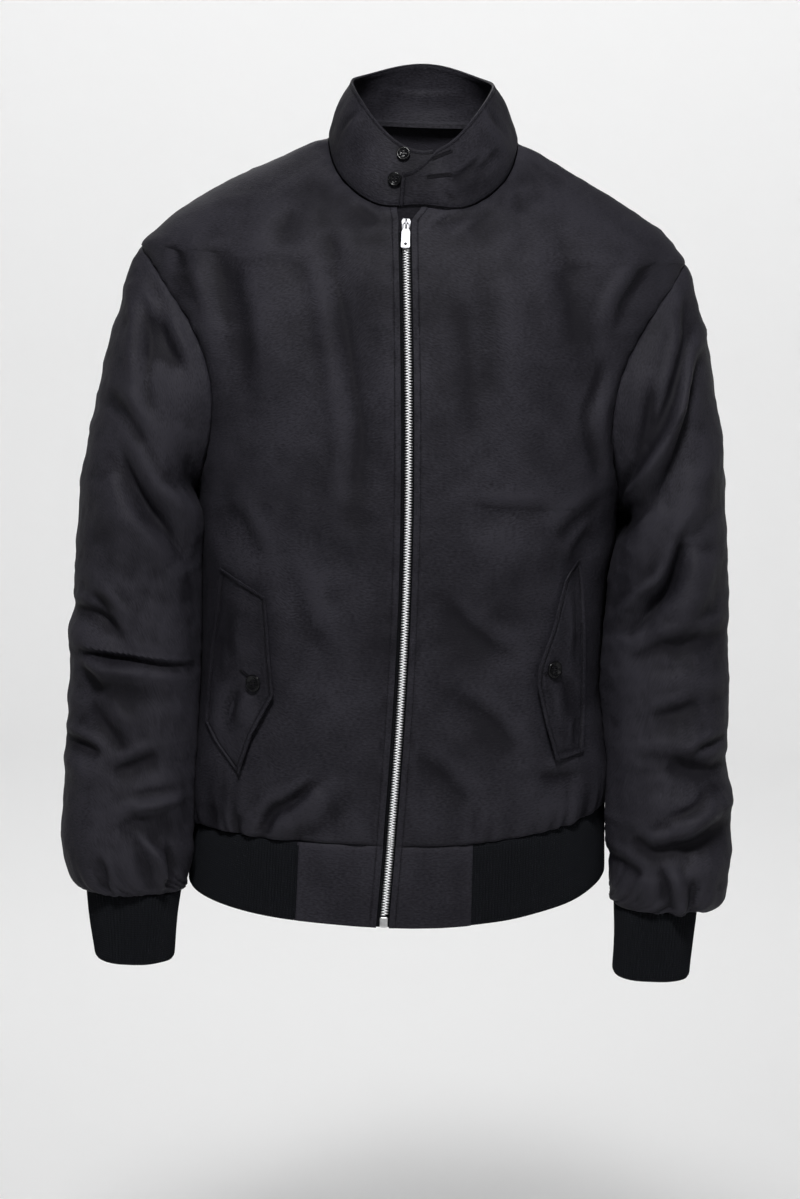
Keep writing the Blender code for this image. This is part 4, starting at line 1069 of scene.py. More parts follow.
def numbered(rows, columns, closed=False, rows_close=False):
    """Vertex numbers of a grid, with its first column or row again at the end where it closes."""
    index = np.arange(rows * columns).reshape(rows, columns)
    if closed:
        index = np.concatenate((index, index[:, :1]), 1)
    return np.concatenate((index, index[:1])) if rows_close else index


def corners(values):
    """The four corners of each cell of a grid of numbers, in order round the cell."""
    return np.stack([values[:-1, :-1], values[:-1, 1:], values[1:, 1:], values[1:, :-1]], -1).reshape(-1, 4)


def new_mesh(name, points, quads):
    """A mesh from any stack of points and rows of vertex numbers."""
    mesh = bpy.data.meshes.new(name)
    mesh.from_pydata(points.reshape(-1, 3).tolist(), [], quads.tolist())
    return mesh


def rework(mesh, join=0.0, turn_out=True):
    """Joins a mesh's points that are nearer than a given distance, and turns its faces outwards."""
    shape = bmesh.new()
    shape.from_mesh(mesh)
    if join:
        bmesh.ops.remove_doubles(shape, verts=shape.verts, dist=join)
    if turn_out:
        bmesh.ops.recalc_face_normals(shape, faces=shape.faces)
    shape.to_mesh(mesh)
    shape.free()


def lay(name, grid, material, wall, closed=False, bevel=0.0005, lining=None, even=False):
    """A cloth shell: quads over the grid facing outwards, a UV map of real lengths in metres, a
    wall going inwards and softened rims. A ribbed grid brings its own smooth lining instead. An
    even one has its map's columns upright, at the mean run of its rows."""
    rows, columns = grid.shape[:2]
    index = numbered(rows, columns, closed)
    along, up = run_along(grid), run_across(grid)
    if even:
        along = along.mean(0) + 0 * along
    if closed:
        last = along[:, -1:] + np.linalg.norm(grid[:, :1] - grid[:, -1:], axis=-1)
        along, up = np.concatenate((along, last), 1), np.concatenate((up, up[:, :1]), 1)
    quads = corners(index)
    maps = np.stack([corners(along), corners(up)], -1)
    points = grid.reshape(-1, 3)
    first = points[quads]
    facing = np.cross(first[:, 1] - first[:, 0], first[:, 3] - first[:, 0])
    middle = grid.mean(1)[quads[:, 0] // columns] if closed else np.zeros(3)
    if lining is not None:
        rims = [index[0], index[-1, ::-1]]
        if not closed:
            rims += [index[::-1, 0], index[:, -1]]
        under = len(points)
        sides = [np.stack([rim[:-1], rim[:-1] + under, rim[1:] + under, rim[1:]], -1) for rim in rims]
        extra = np.concatenate([quads[:, ::-1] + under, *sides])
        flat = np.zeros((len(extra), 4, 2)) + maps.reshape(-1, 2).mean(0)
        flat[:len(quads)] = maps[:, ::-1]
        points = np.concatenate((points, lining.reshape(-1, 3)))
        quads, maps = np.concatenate((quads, extra)), np.concatenate((maps, flat))
    if np.sum(facing * (first.mean(1) - middle) * np.array([1.0, 1.0, 0.0])) < 0:
        quads, maps = quads[:, ::-1], maps[:, ::-1]
    mesh = new_mesh(name, points, quads)
    mesh.uv_layers.new(name="cloth").data.foreach_set("uv", maps.reshape(-1))
    # Each point's relief, kept so that the cloth's colour paints shade into the creases and highlight onto
    # the ridges
    relief_shading = np.zeros(len(points), np.float32)
    relief_shading[:rows * columns] = relief(grid, closed).reshape(-1)
    mesh.attributes.new("relief", "FLOAT", "POINT").data.foreach_set("value", relief_shading)
    mesh.shade_smooth()
    piece = add_object(name, mesh, material)
    if lining is None:
        thick = piece.modifiers.new("wall", "SOLIDIFY")
        thick.thickness = wall
        thick.offset = -1.0
    soft = piece.modifiers.new("soft rim", "BEVEL")
    soft.width = bevel
    soft.segments = 2
    soft.limit_method = "ANGLE"
    soft.angle_limit = radians(62)
    return piece


def add_object(name, mesh, material):
    """An object at the origin with one material."""
    piece = bpy.data.objects.new(name, mesh)
    bpy.context.scene.collection.objects.link(piece)
    mesh.materials.append(material)
    return piece


def scatter(name, points, quads, frames, material):
    """Copies of one small shape: frames is a stack of 3 by 4 placements, applied as whole arrays."""
    placed = np.einsum("nij,pj->npi", frames[:, :, :3], points) + frames[:, None, :, 3]
    faces = quads[None] + (np.arange(len(frames)) * len(points))[:, None, None]
    mesh = new_mesh(name, placed, faces.reshape(-1, quads.shape[1]))
    mesh.shade_smooth()
    return add_object(name, mesh, material)


def bead():
    """One stitch lying along x: a six-sided spindle of unit length and unit half width."""
    x, radius = np.array([(-0.5, 0.30), (-0.32, 1.0), (0.32, 1.0), (0.5, 0.30)]).T[..., None]
    turn = np.linspace(0, 2 * pi, 7)[:-1]
    points = np.stack([x + 0 * turn, radius * np.cos(turn), radius * np.sin(turn)], -1).reshape(-1, 3)
    caps = np.array([[3, 2, 1, 0], [5, 4, 3, 0], [18, 19, 20, 21], [18, 21, 22, 23]])
    return points, np.concatenate((corners(numbered(4, 6, closed=True)), caps))[:, ::-1]


def read(at, run, values):
    """Values of a line of vectors at given distances along its run."""
    return np.stack([np.interp(at, run, values[:, k]) for k in range(3)], -1)


def stitch_frames(line, normal, pitch=STITCH, length=0.74, radius=0.00030, crosswise=False):
    """Placements of a row of stitches along a line of points, every pitch of its run; crosswise
    ones lie square to the line."""
    run = run_along(line[None])[0]
    count = max(int(run[-1] / pitch), 1)
    at = (np.arange(count) + 0.5) * run[-1] / count
    along = unit(read(at + pitch / 3, run, line) - read(at - pitch / 3, run, line))
    across = unit(np.cross(unit(read(at, run, normal)), along))
    up = np.cross(along, across)
    size = pitch * length
    if crosswise:
        along, across = across, -along
        size = HOLE_STITCH_LONG
    centre = read(at, run, line) + up * radius * 0.4
    return np.stack([along * size, across * radius, up * radius, centre], -1)


def line_at(grid, normal, distance):
    """The line that runs up a grid at a distance from the start of its rows, with its normals."""
    run = run_along(grid)
    return [np.array([read(distance, *row) for row in zip(run, values)]) for values in (grid, normal)]


def button_mesh(name, radius, thick, at, normal, material):
    """A four-hole button: a profile turned about its axis, with a raised rim and a dished middle
    in which four bells sink nearly through."""
    profile = np.array(BUTTON_EDGE + [(r, 0.04) for r in np.linspace(0.47, 0.0, 17)])
    turn = np.linspace(0, 2 * pi, BUTTON_TURN + 1)[:-1]
    r, height = profile[:, :1] * radius, profile[:, 1:] * thick + 0 * turn[None, :]
    x, y = r * np.cos(turn), r * np.sin(turn)
    front_face = np.arange(len(profile))[:, None] >= len(BUTTON_EDGE)
    for across in (-1, 1):
        for up in (-1, 1):
            away = (x - across * BUTTON_SPOT * radius) ** 2 + (y - up * BUTTON_SPOT * radius) ** 2
            hole = np.exp(-away ** 2 / (BUTTON_HOLE * radius) ** 4)
            height -= BUTTON_SINK * thick * hole * front_face
    mesh = new_mesh(name, np.stack([x, y, height], -1),
                    corners(numbered(len(profile), BUTTON_TURN, closed=True)))
    rework(mesh, join=1e-7)
    facing = Vector(normal).to_track_quat("Z", "Y").to_matrix().to_4x4()
    mesh.transform(Matrix.Translation(Vector(at)) @ facing)
    mesh.shade_smooth()
    return add_object(name, mesh, material)


def thread_frames(at, normal, radius):
    """Placements of the two threads that cross a button from hole to hole."""
    facing = Vector(normal).to_track_quat("Z", "Y").to_matrix()
    x, y, z = (np.array(facing.col[k]) for k in range(3))
    return np.array([np.stack([x * 0.60 * radius, y * 0.00050, z * 0.00036,
                               at + y * side * BUTTON_SPOT * radius + z * 0.0003], -1) for side in (-1, 1)])


def attach(piece, slot, *nodes, body_name="jacket"):
    """Rides a piece on its body and hides the nodes that it stands for; the slot is not used."""
    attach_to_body(piece, body_name)
    if nodes:
        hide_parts(*nodes)
    return piece


def sew(piece, slot, name):
    """Attaches a cloth piece in place of its CAD node."""
    attach(piece, slot, name)


def add_stitches(context, name, frames):
    """Adds rows of stitches as one piece, a bead of thread in every frame."""
    piece = scatter(name, *bead(), np.concatenate(frames), material(context, "thread"))
    attach(piece, "poplin")


# ---------------------------------------------------------------- materials

# Scale of a wave texture whose bands are one unit apart
WAVE = 0.314


def linear(colour):
    """sRGB hex to linear red, green, blue and alpha."""
    values = [int(colour[i:i + 2], 16) / 255 for i in (1, 3, 5)]
    return (*[v / 12.92 if v <= 0.04045 else ((v + 0.055) / 1.055) ** 2.4 for v in values], 1.0)


def add(tree, kind, inputs=None, **settings):
    """Adds a node, sets it up and links or fills its inputs."""
    made = tree.nodes.new("ShaderNode" + kind)
    for key, value in settings.items():
        setattr(made, key, value)
    for key, value in (inputs or {}).items():
        if isinstance(value, bpy.types.NodeSocket):
            tree.links.new(value, made.inputs[key])
        else:
            made.inputs[key].default_value = value
    return made


def finish(name, colour, **constants):
    """A material with its Principled shader: the colour is sRGB hex, the rest are its sockets. Also
    returns the outputs of its texture coordinates."""
    made = bpy.data.materials.new(name)
    made.use_nodes = True
    shader = made.node_tree.nodes["Principled BSDF"]
    shader.inputs["Base Color"].default_value = linear(colour)
    for key, value in constants.items():
        shader.inputs[key.replace("_", " ")].default_value = value
    made.diffuse_color = linear(colour)
    return made, made.node_tree, shader, add(made.node_tree, "TexCoord").outputs


def noise(tree, at, size, detail, **more):
    """A cloudy noise whose lumps are one size apart, in the units of its coordinates."""
    inputs = {"Vector": at, "Scale": 1 / size, "Detail": detail, **more}
    return add(tree, "TexNoise", inputs).outputs["Fac"]


def bump(tree, shader, height, distance, strength, **more):
    """Moves the shader's normal by a height that stands for a distance in metres."""
    inputs = {"Height": height, "Distance": distance, "Strength": strength, **more}
    normal = add(tree, "Bump", inputs).outputs["Normal"]
    tree.links.new(normal, shader.inputs["Normal"])
    return normal


def tinted(tree, shader, factor, dark, light):
    """Colours the shader between two sRGB values by a factor."""
    blend = add(tree, "Mix", {"Factor": factor}, data_type="RGBA")
    blend.inputs["A"].default_value = linear(dark)
    blend.inputs["B"].default_value = linear(light)
    tree.links.new(blend.outputs["Result"], shader.inputs["Base Color"])


def poplin(colours):
    """Cotton blend poplin: tightly woven, so matt with a soft satin sheen on its folds and a
    faint crosswise grain. Thread spacing is 0.3 mm; the grain is drawn at 1.4 mm so that it shows.
    Its colour goes between two tones by random grain and cloud, and by the relief: painted shade in
    the creases and painted highlight on the ridges."""
    made, tree, shader, place = finish("black_poplin", colours.poplin, Roughness=0.68, Sheen_Weight=0.004,
                                       Sheen_Roughness=0.40, Specular_IOR_Level=0.12)
    shader.inputs["Sheen Tint"].default_value = linear("#b9b7c4")
    grain_at = add(tree, "Mapping", {"Vector": place["UV"], "Scale": (1 / 0.0034, 1 / 0.0014, 1.0)})
    grain = noise(tree, grain_at.outputs["Vector"], 1.0, 2.0)
    cloud = noise(tree, place["Object"], 0.055, 3.0)
    # Painted shade and highlight: the relief darkens the colour in creases and lightens it on ridges, added
    # to the random grain and cloud
    relief_shading = add(tree, "Attribute", attribute_name="relief")
    both = add(tree, "Math", {0: grain, 1: cloud}, operation="MULTIPLY")
    grain_and_relief_shading = add(tree, "Math", {0: relief_shading.outputs["Fac"], 1: 0.13, 2: both.outputs["Value"]},
                 operation="MULTIPLY_ADD")
    spread_out = add(tree, "MapRange", {"Value": grain_and_relief_shading.outputs["Value"], "From Min": 0.15, "From Max": 0.41})
    tinted(tree, shader, spread_out.outputs["Result"], colours.poplin, colours.poplin_light)
    crinkle = noise(tree, place["Object"], 0.014, 3.0, Roughness=0.55)
    low = bump(tree, shader, crinkle, 0.0011, 0.55)
    bump(tree, shader, grain, 0.0006, 0.7, Normal=low)
    return made


def rib_knit(colours):
    """Double rib knit: wool blend, fuzzy and darker than the woven cloth, each upright rib a chain
    of loops 2 mm high."""
    made, tree, shader, place = finish("black_rib_knit", colours.rib, Roughness=0.90, Sheen_Weight=0.008,
                                       Sheen_Roughness=0.55, Specular_IOR_Level=0.08)
    shader.inputs["Sheen Tint"].default_value = linear("#9aa4a8")
    loops = add(tree, "TexWave", {"Vector": place["UV"], "Scale": WAVE / 0.0020, "Distortion": 1.5,
                                  "Detail": 1.0}, bands_direction="Y")
    fuzz = noise(tree, place["Object"], 0.0016, 3.0)
    both = add(tree, "Math", {0: loops.outputs["Fac"], 1: fuzz}, operation="MULTIPLY").outputs["Value"]
    tinted(tree, shader, both, colours.rib, colours.rib_light)
    bump(tree, shader, both, 0.0005, 0.6)
    return made


def plated(name, colour, shade, rough):
    """Plated metal, tumbled: bright and a little uneven, so that its highlights break up."""
    made, tree, shader, place = finish(name, colour, Metallic=1.0, Roughness=rough[1])
    cloud = noise(tree, place["Object"], 0.004, 3.0)
    tinted(tree, shader, cloud, shade, colour)
    varied = add(tree, "MapRange", {"Value": cloud, "To Min": rough[0], "To Max": rough[1]})
    tree.links.new(varied.outputs["Result"], shader.inputs["Roughness"])
    return made


def nickel(colours):
    """Nickel-plated brass, stamped and tumbled: the zip's bright teeth and box."""
    return plated("nickel_plated_brass", colours.metal, "#b4b4b6", (0.38, 0.52))


def zinc(colours):
    """Nickel-plated zinc, die-cast: the slider and its pull, a little greyer than the teeth as painted shade,
    so that the gaps round the pull read dark.
    """
    return plated("plated_zinc_casting", colours.slider, "#88888c", (0.42, 0.55))


def resin(colours):
    """Polyester resin button, polished: near black with sharp small highlights and fine swirls."""
    made, tree, shader, place = finish("black_resin", colours.button, Roughness=0.20, IOR=1.42,
                                       Coat_Weight=0.04, Specular_IOR_Level=0.22)
    swirl = noise(tree, place["Object"], 0.005, 2.0, Distortion=1.2)
    tinted(tree, shader, swirl, "#060607", "#121214")
    return made


def thread(colours):
    """Core-spun polyester sewing thread, black: smoother and a little brighter than the cloth."""
    made, tree, shader, place = finish("black_thread", colours.thread, Roughness=0.62,
                                       Specular_IOR_Level=0.12)
    tinted(tree, shader, noise(tree, place["Object"], 0.0006, 1.0), "#0c0b0f", colours.thread)
    return made


def zip_tape(colours):
    """Woven polyester zip tape: a flat herringbone, 1 mm pitch, black and matt."""
    made, tree, shader, place = finish("black_zip_tape", colours.rib, Roughness=0.88,
                                       Specular_IOR_Level=0.08)
    weave = add(tree, "TexWave", {"Vector": place["Object"], "Scale": WAVE / 0.0010, "Distortion": 0.6},
                bands_direction="DIAGONAL").outputs["Fac"]
    tinted(tree, shader, weave, "#050507", colours.rib)
    bump(tree, shader, weave, 0.0002, 0.5)
    return made


def studio_paint(colours):
    """Matt emulsion on a plain sweep: pale and even, with a faint roller texture."""
    made, tree, shader, place = finish("studio_paint", colours.stage, Roughness=0.9)
    bump(tree, shader, noise(tree, place["Object"], 0.012, 2.0), 0.0004, 0.15)
    return made


MAKERS = {"poplin": poplin, "rib": rib_knit, "metal": nickel, "slider": zinc, "resin": resin,
          "thread": thread, "tape": zip_tape, "stage": studio_paint}
MADE = {}


def material(context, kind):
    """The material of one kind, made the first time that it is asked for."""
    key = "jacket_" + kind
    if key not in MADE:
        MADE[key] = MAKERS[kind](context.scene.jacket_colours)
    return MADE[key]


# ---------------------------------------------------------------- settings and operators

class JacketColours(bpy.types.PropertyGroup):
    """Colours of the jacket and its stage, as sRGB hex."""
    # The relief also mixes the cloth towards the darker tone in creases and the lighter one on ridges, as
    # painted shade and highlight
    poplin: StringProperty(name="Poplin", description="Darker tone of the woven cloth", default="#131217")
    poplin_light: StringProperty(name="Poplin light", description="Lighter tone of the woven cloth",
                                 default="#28272d")
    rib: StringProperty(name="Rib", description="Darker tone of the knitted bands", default="#0d0e11")
    rib_light: StringProperty(name="Rib light", description="Lighter tone of the knitted bands",
                              default="#191b1f")
    metal: StringProperty(name="Metal", description="Zip teeth and box", default="#e2e2e3")
    # Greyer than the teeth: painted shade for the dark gaps round the pull
    slider: StringProperty(name="Slider", description="Nickel plate of slider and pull", default="#b0b0b4")
    button: StringProperty(name="Buttons", description="Resin buttons", default="#0e0e10")
    thread: StringProperty(name="Thread", description="Sewing thread", default="#151419")
    stage: StringProperty(name="Stage", description="Floor and backdrop", default="#f3f3f3")


class JacketStage(bpy.types.PropertyGroup):
    """Sizes of the view and the light."""
    distance: FloatProperty(name="Camera distance", description="From the jacket's own plane",
                            default=2.5, unit="LENGTH")
    pitch: FloatProperty(name="Camera pitch", description="Downward tilt", default=radians(8.0),
                         subtype="ANGLE")
    roll: FloatProperty(name="Camera roll", description="Turn about the line of sight",
                        default=radians(1.9), subtype="ANGLE")
    lens: FloatProperty(name="Lens", description="Focal length for a 36 mm high frame, in mm", default=84.07)
    floor: FloatProperty(name="Floor level", description="Height of the floor under the neck", default=-1.5,
                         unit="LENGTH")
    light: FloatProperty(name="Light", description="Strength of the studio lamps", default=1.0, min=0.0)
    centre: FloatVectorProperty(name="Camera place", description="Across and up from the jacket's origin",
                                size=2, default=(-0.0071, -0.0493), unit="LENGTH")


class JACKET_OT_body(bpy.types.Operator):
    """Adds the two fronts and the back"""
    bl_idname = "jacket.body"
    bl_label = "Body panels"

    def execute(self, context):
        frames = []
        for name in ("front_right", "front_left", "back"):
            grid, normal = panel(name)
            sew(lay(name + "_cloth", grid, material(context, "poplin"), CLOTH_WALL), "poplin", name)
            if name != "back":
                frames.append(stitch_frames(*line_at(grid, normal, STITCH_IN)))
        add_stitches(context, "front_edge_stitches", frames)
        return {"FINISHED"}


class JACKET_OT_sleeves(bpy.types.Operator):
    """Adds both sleeves"""
    bl_idname = "jacket.sleeves"
    bl_label = "Sleeves"

    def execute(self, context):
        for side_name in ("right", "left"):
            name = "sleeve_" + side_name
            grid, _ = sleeve(side_name)
            piece = lay(name + "_cloth", grid, material(context, "poplin"), CLOTH_WALL, closed=True)
            sew(piece, "poplin", name)
        return {"FINISHED"}


class JACKET_OT_collar(bpy.types.Operator):
    """Adds the stand collar with its edge stitches and buttonholes"""
    bl_idname = "jacket.collar"
    bl_label = "Collar"

    def execute(self, context):
        grid, normal = collar_surface()
        piece = lay("collar_cloth", grid, material(context, "poplin"), COLLAR_CLOTH, bevel=0.0008,
                    even=True)
        sew(piece, "poplin", "collar")
        turned = [values[::-1].transpose(1, 0, 2) for values in (grid, normal)]
        frames = [stitch_frames(*line_at(*turned, COLLAR_STITCH)),
                  stitch_frames(*line_at(grid[3:, ::-1], normal[3:, ::-1], COLLAR_STITCH))]
        lap = slice(grid.shape[1] * 3 // 4, None)
        for ends in COLLAR_HOLES:
            ends = [collar(np.array(radians(degrees)), np.array(share))[[0, 2]] for degrees, share in ends]
            frames += buttonhole_frames(grid[2:, lap], normal[2:, lap], *ends)
        add_stitches(context, "collar_stitches", frames)
        return {"FINISHED"}


def onto(grid, normal, place):
    """Points and normals of a cloth surface at given x and level: the mean of the grid points
    around each, weighted by a bell a millimetre and a half wide."""
    points, facing = grid.reshape(-1, 3), normal.reshape(-1, 3)
    gap = np.sum((points[None, :, [0, 2]] - place[:, None]) ** 2, -1)
    weight = np.exp(-(gap - gap.min(1, keepdims=True)) / 0.0015 ** 2)
    weight /= weight.sum(1, keepdims=True)
    return np.stack([place[:, 0], weight @ points[:, 1], place[:, 1]], -1), unit(weight @ facing)


def buttonhole_frames(grid, normal, first, last):
    """Close crosswise stitches round a slit from one (x, level) to another: a long flat ring half
    as wide as a stitch is long, and in the slit one long dark thread, painted shade for the open cut."""
    first, last = np.array(first), np.array(last)
    length = np.linalg.norm(last - first)
    along = (last - first) / length
    off = HOLE_HALF * np.clip(2.4 * np.sin(np.linspace(0, 2 * pi, 121)), -1, 1)[:, None]
    share = 0.5 - 0.5 * np.cos(np.linspace(0, 2 * pi, 121))[:, None]
    edge = first + along * length * share + off * np.array([-along[1], along[0]])
    slit = first + along * np.linspace(0.1, 0.9, 9)[:, None] * length
    return [stitch_frames(*onto(grid, normal, edge), pitch=HOLE_PITCH, radius=HOLE_THREAD, crosswise=True),
            stitch_frames(*onto(grid, normal, slit), pitch=0.0030, length=1.3, radius=0.00045)]


class JACKET_OT_bands(bpy.types.Operator):
    """Adds the knitted hem, the knitted cuffs and the woven hem tabs"""
    bl_idname = "jacket.bands"
    bl_label = "Hem and cuffs"

    def execute(self, context):
        knit = material(context, "rib")
        grid, lining = hem_rib_surface()
        sew(lay("hem_rib_knit", grid, knit, RIB_CLOTH, bevel=0.0009, lining=lining), "rib", "hem_rib")
        frames = []
        for side_name in ("right", "left"):
            name = "cuff_" + side_name
            grid, lining = cuff_surface(side_name)
            piece = lay(name + "_knit", grid, knit, RIB_CLOTH, closed=True, bevel=0.0009, lining=lining)
            sew(piece, "rib", name)
            name = "hem_tab_" + side_name
            grid, normal = tab_surface(side_name)
            sew(lay(name + "_cloth", grid, material(context, "poplin"), CLOTH_WALL), "poplin", name)
            frames.append(stitch_frames(*line_at(grid, normal, STITCH_IN)))
        add_stitches(context, "hem_tab_stitches", frames)
        return {"FINISHED"}


class JACKET_OT_flaps(bpy.types.Operator):
    """Adds the pocket flaps with their edge stitches and buttonholes"""
    bl_idname = "jacket.flaps"
    bl_label = "Pocket flaps"

    def execute(self, context):
        frames = []
        for side_name in ("right", "left"):
            name = "pocket_flap_" + side_name
            grid, normal = flap_surface(side_name)
            sew(lay(name + "_cloth", grid, material(context, "poplin"), CLOTH_WALL), "poplin", name)
            frames.append(stitch_frames(*line_at(grid[:, ::-1], normal[:, ::-1], FLAP_STITCH)))
            frames.append(stitch_frames(*line_at(grid, normal, FLAP_STITCH)))
            frames += buttonhole_frames(grid, normal, *FLAP_HOLE[side_name])
        add_stitches(context, "flap_stitches", frames)
        return {"FINISHED"}


class JACKET_OT_zip(bpy.types.Operator):
    """Adds the zip's teeth, box, slider and pull"""
    bl_idname = "jacket.zip"
    bl_label = "Zip"

    def execute(self, context):
        metal, tape, casting = (material(context, kind) for kind in ("metal", "tape", "slider"))
        teeth = scatter("zip_teeth", *tooth(), chain_frames(), metal)
        rework(teeth.data)
        attach(teeth, "zip_metal", "zip_chain")
        attach(cast("zip_box_metal", box_shells(), on_zip(EDGE + BOX_FOOT), metal), "zip_metal", "zip_box")
        attach(cast("zip_tape_ends", tape_end_shells(), on_zip(EDGE + TAPE_END_FOOT), tape), "poplin")
        place = on_zip(SLIDER_LEVEL)
        attach(cast("zip_slider_metal", slider_shells(), place, casting), "zip_metal", "zip_slider")
        hinge = place @ Matrix.Translation((0.0, SLIDER["front"] - PULL["rise"], PULL["rise"]))
        attach(cast("zip_pull_metal", pull_shells(), hinge, casting), "zip_metal", "zip_pull",
               body_name="pull_tab")
        for node in ("zip_tape_right", "zip_tape_left"):
            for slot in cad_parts[node].material_slots:
                slot.material = tape
        return {"FINISHED"}


def chain_frames():
    """Placements of the teeth at even steps along the zip, every other one turned round."""
    levels = np.linspace(EDGE + CHAIN_FOOT, SLIDER_LEVEL - CHAIN_HEAD, 1200)
    run = run_along(front(zip_x(levels), levels)[None])[0]
    count = int(run[-1] / TOOTH_PITCH) * 2
    level = np.interp((np.arange(count) + 0.5) * run[-1] / count, run, levels)
    above, below = (front(zip_x(level + step), level + step) for step in (0.002, -0.002))
    up = unit(above - below)
    across = np.cross(up, np.array([0.0, -1.0, 0.0]))
    across = unit(across) * np.sign(across[:, :1])
    out = unit(np.cross(up, across))
    out = out * np.sign(-out[:, 1:2])
    side = np.where(np.arange(count) % 2 == 0, -1.0, 1.0)[:, None]
    return np.stack([across * side, out, up, front(zip_x(level), level) - out * TOOTH_SUNK], -1)


def tooth():
    """One tooth reaching out along x from the tape to past the middle: a bar that narrows to a
    rounded head, flat in front, with its front and back edges as two rows of points."""
    x, depth, half = np.array(TOOTH).T
    rows = [np.stack([x, ahead * depth, up * half], -1) for up, ahead in ((-1, 1), (-1, -1), (1, -1), (1, 1))]
    quads = corners(numbered(4, len(TOOTH), rows_close=True))
    ends = np.array([[0, 5, 10, 15], [4, 9, 14, 19]])
    return np.concatenate(rows), np.concatenate((quads, ends))


def plate(outline, centre, hole, low, high, soft, dish=0.0):
    """A flat metal part: an outline given by angle about a centre, joined to a round hole there,
    or to the point itself, across the front, over the rims and across the back. The rims are
    rounded and the front is dished between them."""
    turn = np.linspace(0, 2 * pi, len(outline) + 1)[:-1]
    rim = np.array(centre) + hole * np.stack([np.cos(turn), np.sin(turn)], -1)
    across = outline - rim
    reach = np.linalg.norm(across, axis=1)[:, None]
    outer = [(1, -2.6, 0.0, dish), (1, -1.8, 0.0, dish), (1, -1.0, 0.0, 0.0), (1, -0.3, 0.3, 0.0),
             (1, 0.0, 1.0, 0.0)]
    inner = [(0, -step, drop, sink) for _, step, drop, sink in outer[::-1]] if hole else [(0, 0.0, 0.0, dish)]
    end, step, drop, sink = np.array(inner + outer).T
    share = end + step * soft / reach
    place = rim[:, None] + across[:, None] * share[..., None]
    face = low + drop * soft + sink
    behind = high - drop * soft
    place = np.concatenate((place, place[:, ::-1]), 1)
    depth = np.concatenate((face, behind[::-1])) + 0 * place[..., 0]
    return np.stack([place[..., 0], depth, place[..., 1]], -1)


def bar(path, side, thick, wide, closed):
    """A bent bar: an ellipse carried along a path in a plane, the side direction across it. Open
    ends come to a point inside what they stand on."""
    ahead = np.roll(path, -1, 0) - np.roll(path, 1, 0) if closed else np.gradient(path, axis=0)
    up = unit(np.cross(ahead, np.array(side, dtype=float)))
    turn = np.linspace(0, 2 * pi, 15)[:-1]
    size = np.ones(len(path))
    if not closed:
        size[[0, -1]] = 0.0
    ring_points = (up[:, None] * (np.cos(turn) * thick)[None, :, None]
                   + np.array(side, dtype=float) * (np.sin(turn) * wide)[None, :, None])
    return path[:, None] + ring_points * size[:, None, None]


def cast(name, shells, place, material):
    """A metal piece of closed shells, each a grid that closes on itself along its rows and
    across its columns where it is said to, and comes to points where not."""
    points, quads = [], []
    for grid, rows_close, columns_close in shells:
        quads.append(corners(numbered(*grid.shape[:2], columns_close, rows_close)) + sum(map(len, points)))
        points.append(grid.reshape(-1, 3))
    mesh = new_mesh(name, np.concatenate(points), np.concatenate(quads))
    rework(mesh, join=2e-7)
    mesh.transform(place)
    mesh.shade_smooth()
    mesh.set_sharp_from_angle(angle=radians(50))
    return add_object(name, mesh, material)


def on_zip(level):
    """Place of a metal part on the zip: its x across, y into the body and z up along the zip."""
    x = float(zip_x(np.array(level)))
    below, above = front(x, level - 0.02), front(x, level + 0.001)
    slope = float(np.arctan2(above[1] - below[1], above[2] - below[2]))
    return Matrix.Translation(Vector(front(x, level))) @ Matrix.Rotation(-slope, 4, "X")


def mirrored(side):
    """The right half of an outline from bottom to top, followed by its mirror image."""
    return [*side, *[(-x, z) for x, z in side[::-1]]]


def spread(outline, count=144, centre=(0.0, 0.0)):
    """Points of a closed outline at equal angles about a centre."""
    outline = np.array([*outline, outline[0]]) - centre
    t = np.linspace(0, len(outline) - 1, 3000)
    fine = np.stack([np.interp(t, np.arange(len(outline)), outline[:, k]) for k in range(2)], -1)
    angle = np.mod(np.arctan2(fine[:, 1], fine[:, 0]), 2 * pi)
    turn = np.linspace(0, 2 * pi, count + 1)[:-1]
    order = np.argsort(angle)
    radius = np.interp(turn, angle[order], np.linalg.norm(fine, axis=1)[order], period=2 * pi)
    return np.array(centre) + np.stack([radius * np.cos(turn), radius * np.sin(turn)], -1)


def slider_shells():
    """The slider: a waisted plate, a raised crown at its top and the arched bail on its front."""
    s, b = SLIDER, BAIL
    outline = mirrored([(s["wide"], s["shoulder"]), (s["shoulder"], s["top"])])
    outline += [(-s["narrow"], s["bottom"]), (s["narrow"], s["bottom"])]
    base = plate(spread(outline), (0.0, 0.0), 0.0, s["front"], s["back"], 0.0006)
    t = np.linspace(-pi / 2 * 1.12, pi / 2 * 1.12, 25)
    rise, foot = b["rise"] - 0.0005, b["foot"] - 0.0005
    arch = np.stack([0 * t, s["front"] - rise * np.cos(t), foot * np.sin(t)], -1)
    return [(base, True, False), (bar(arch, (1, 0, 0), 0.0005, b["half"], False), False, True)]


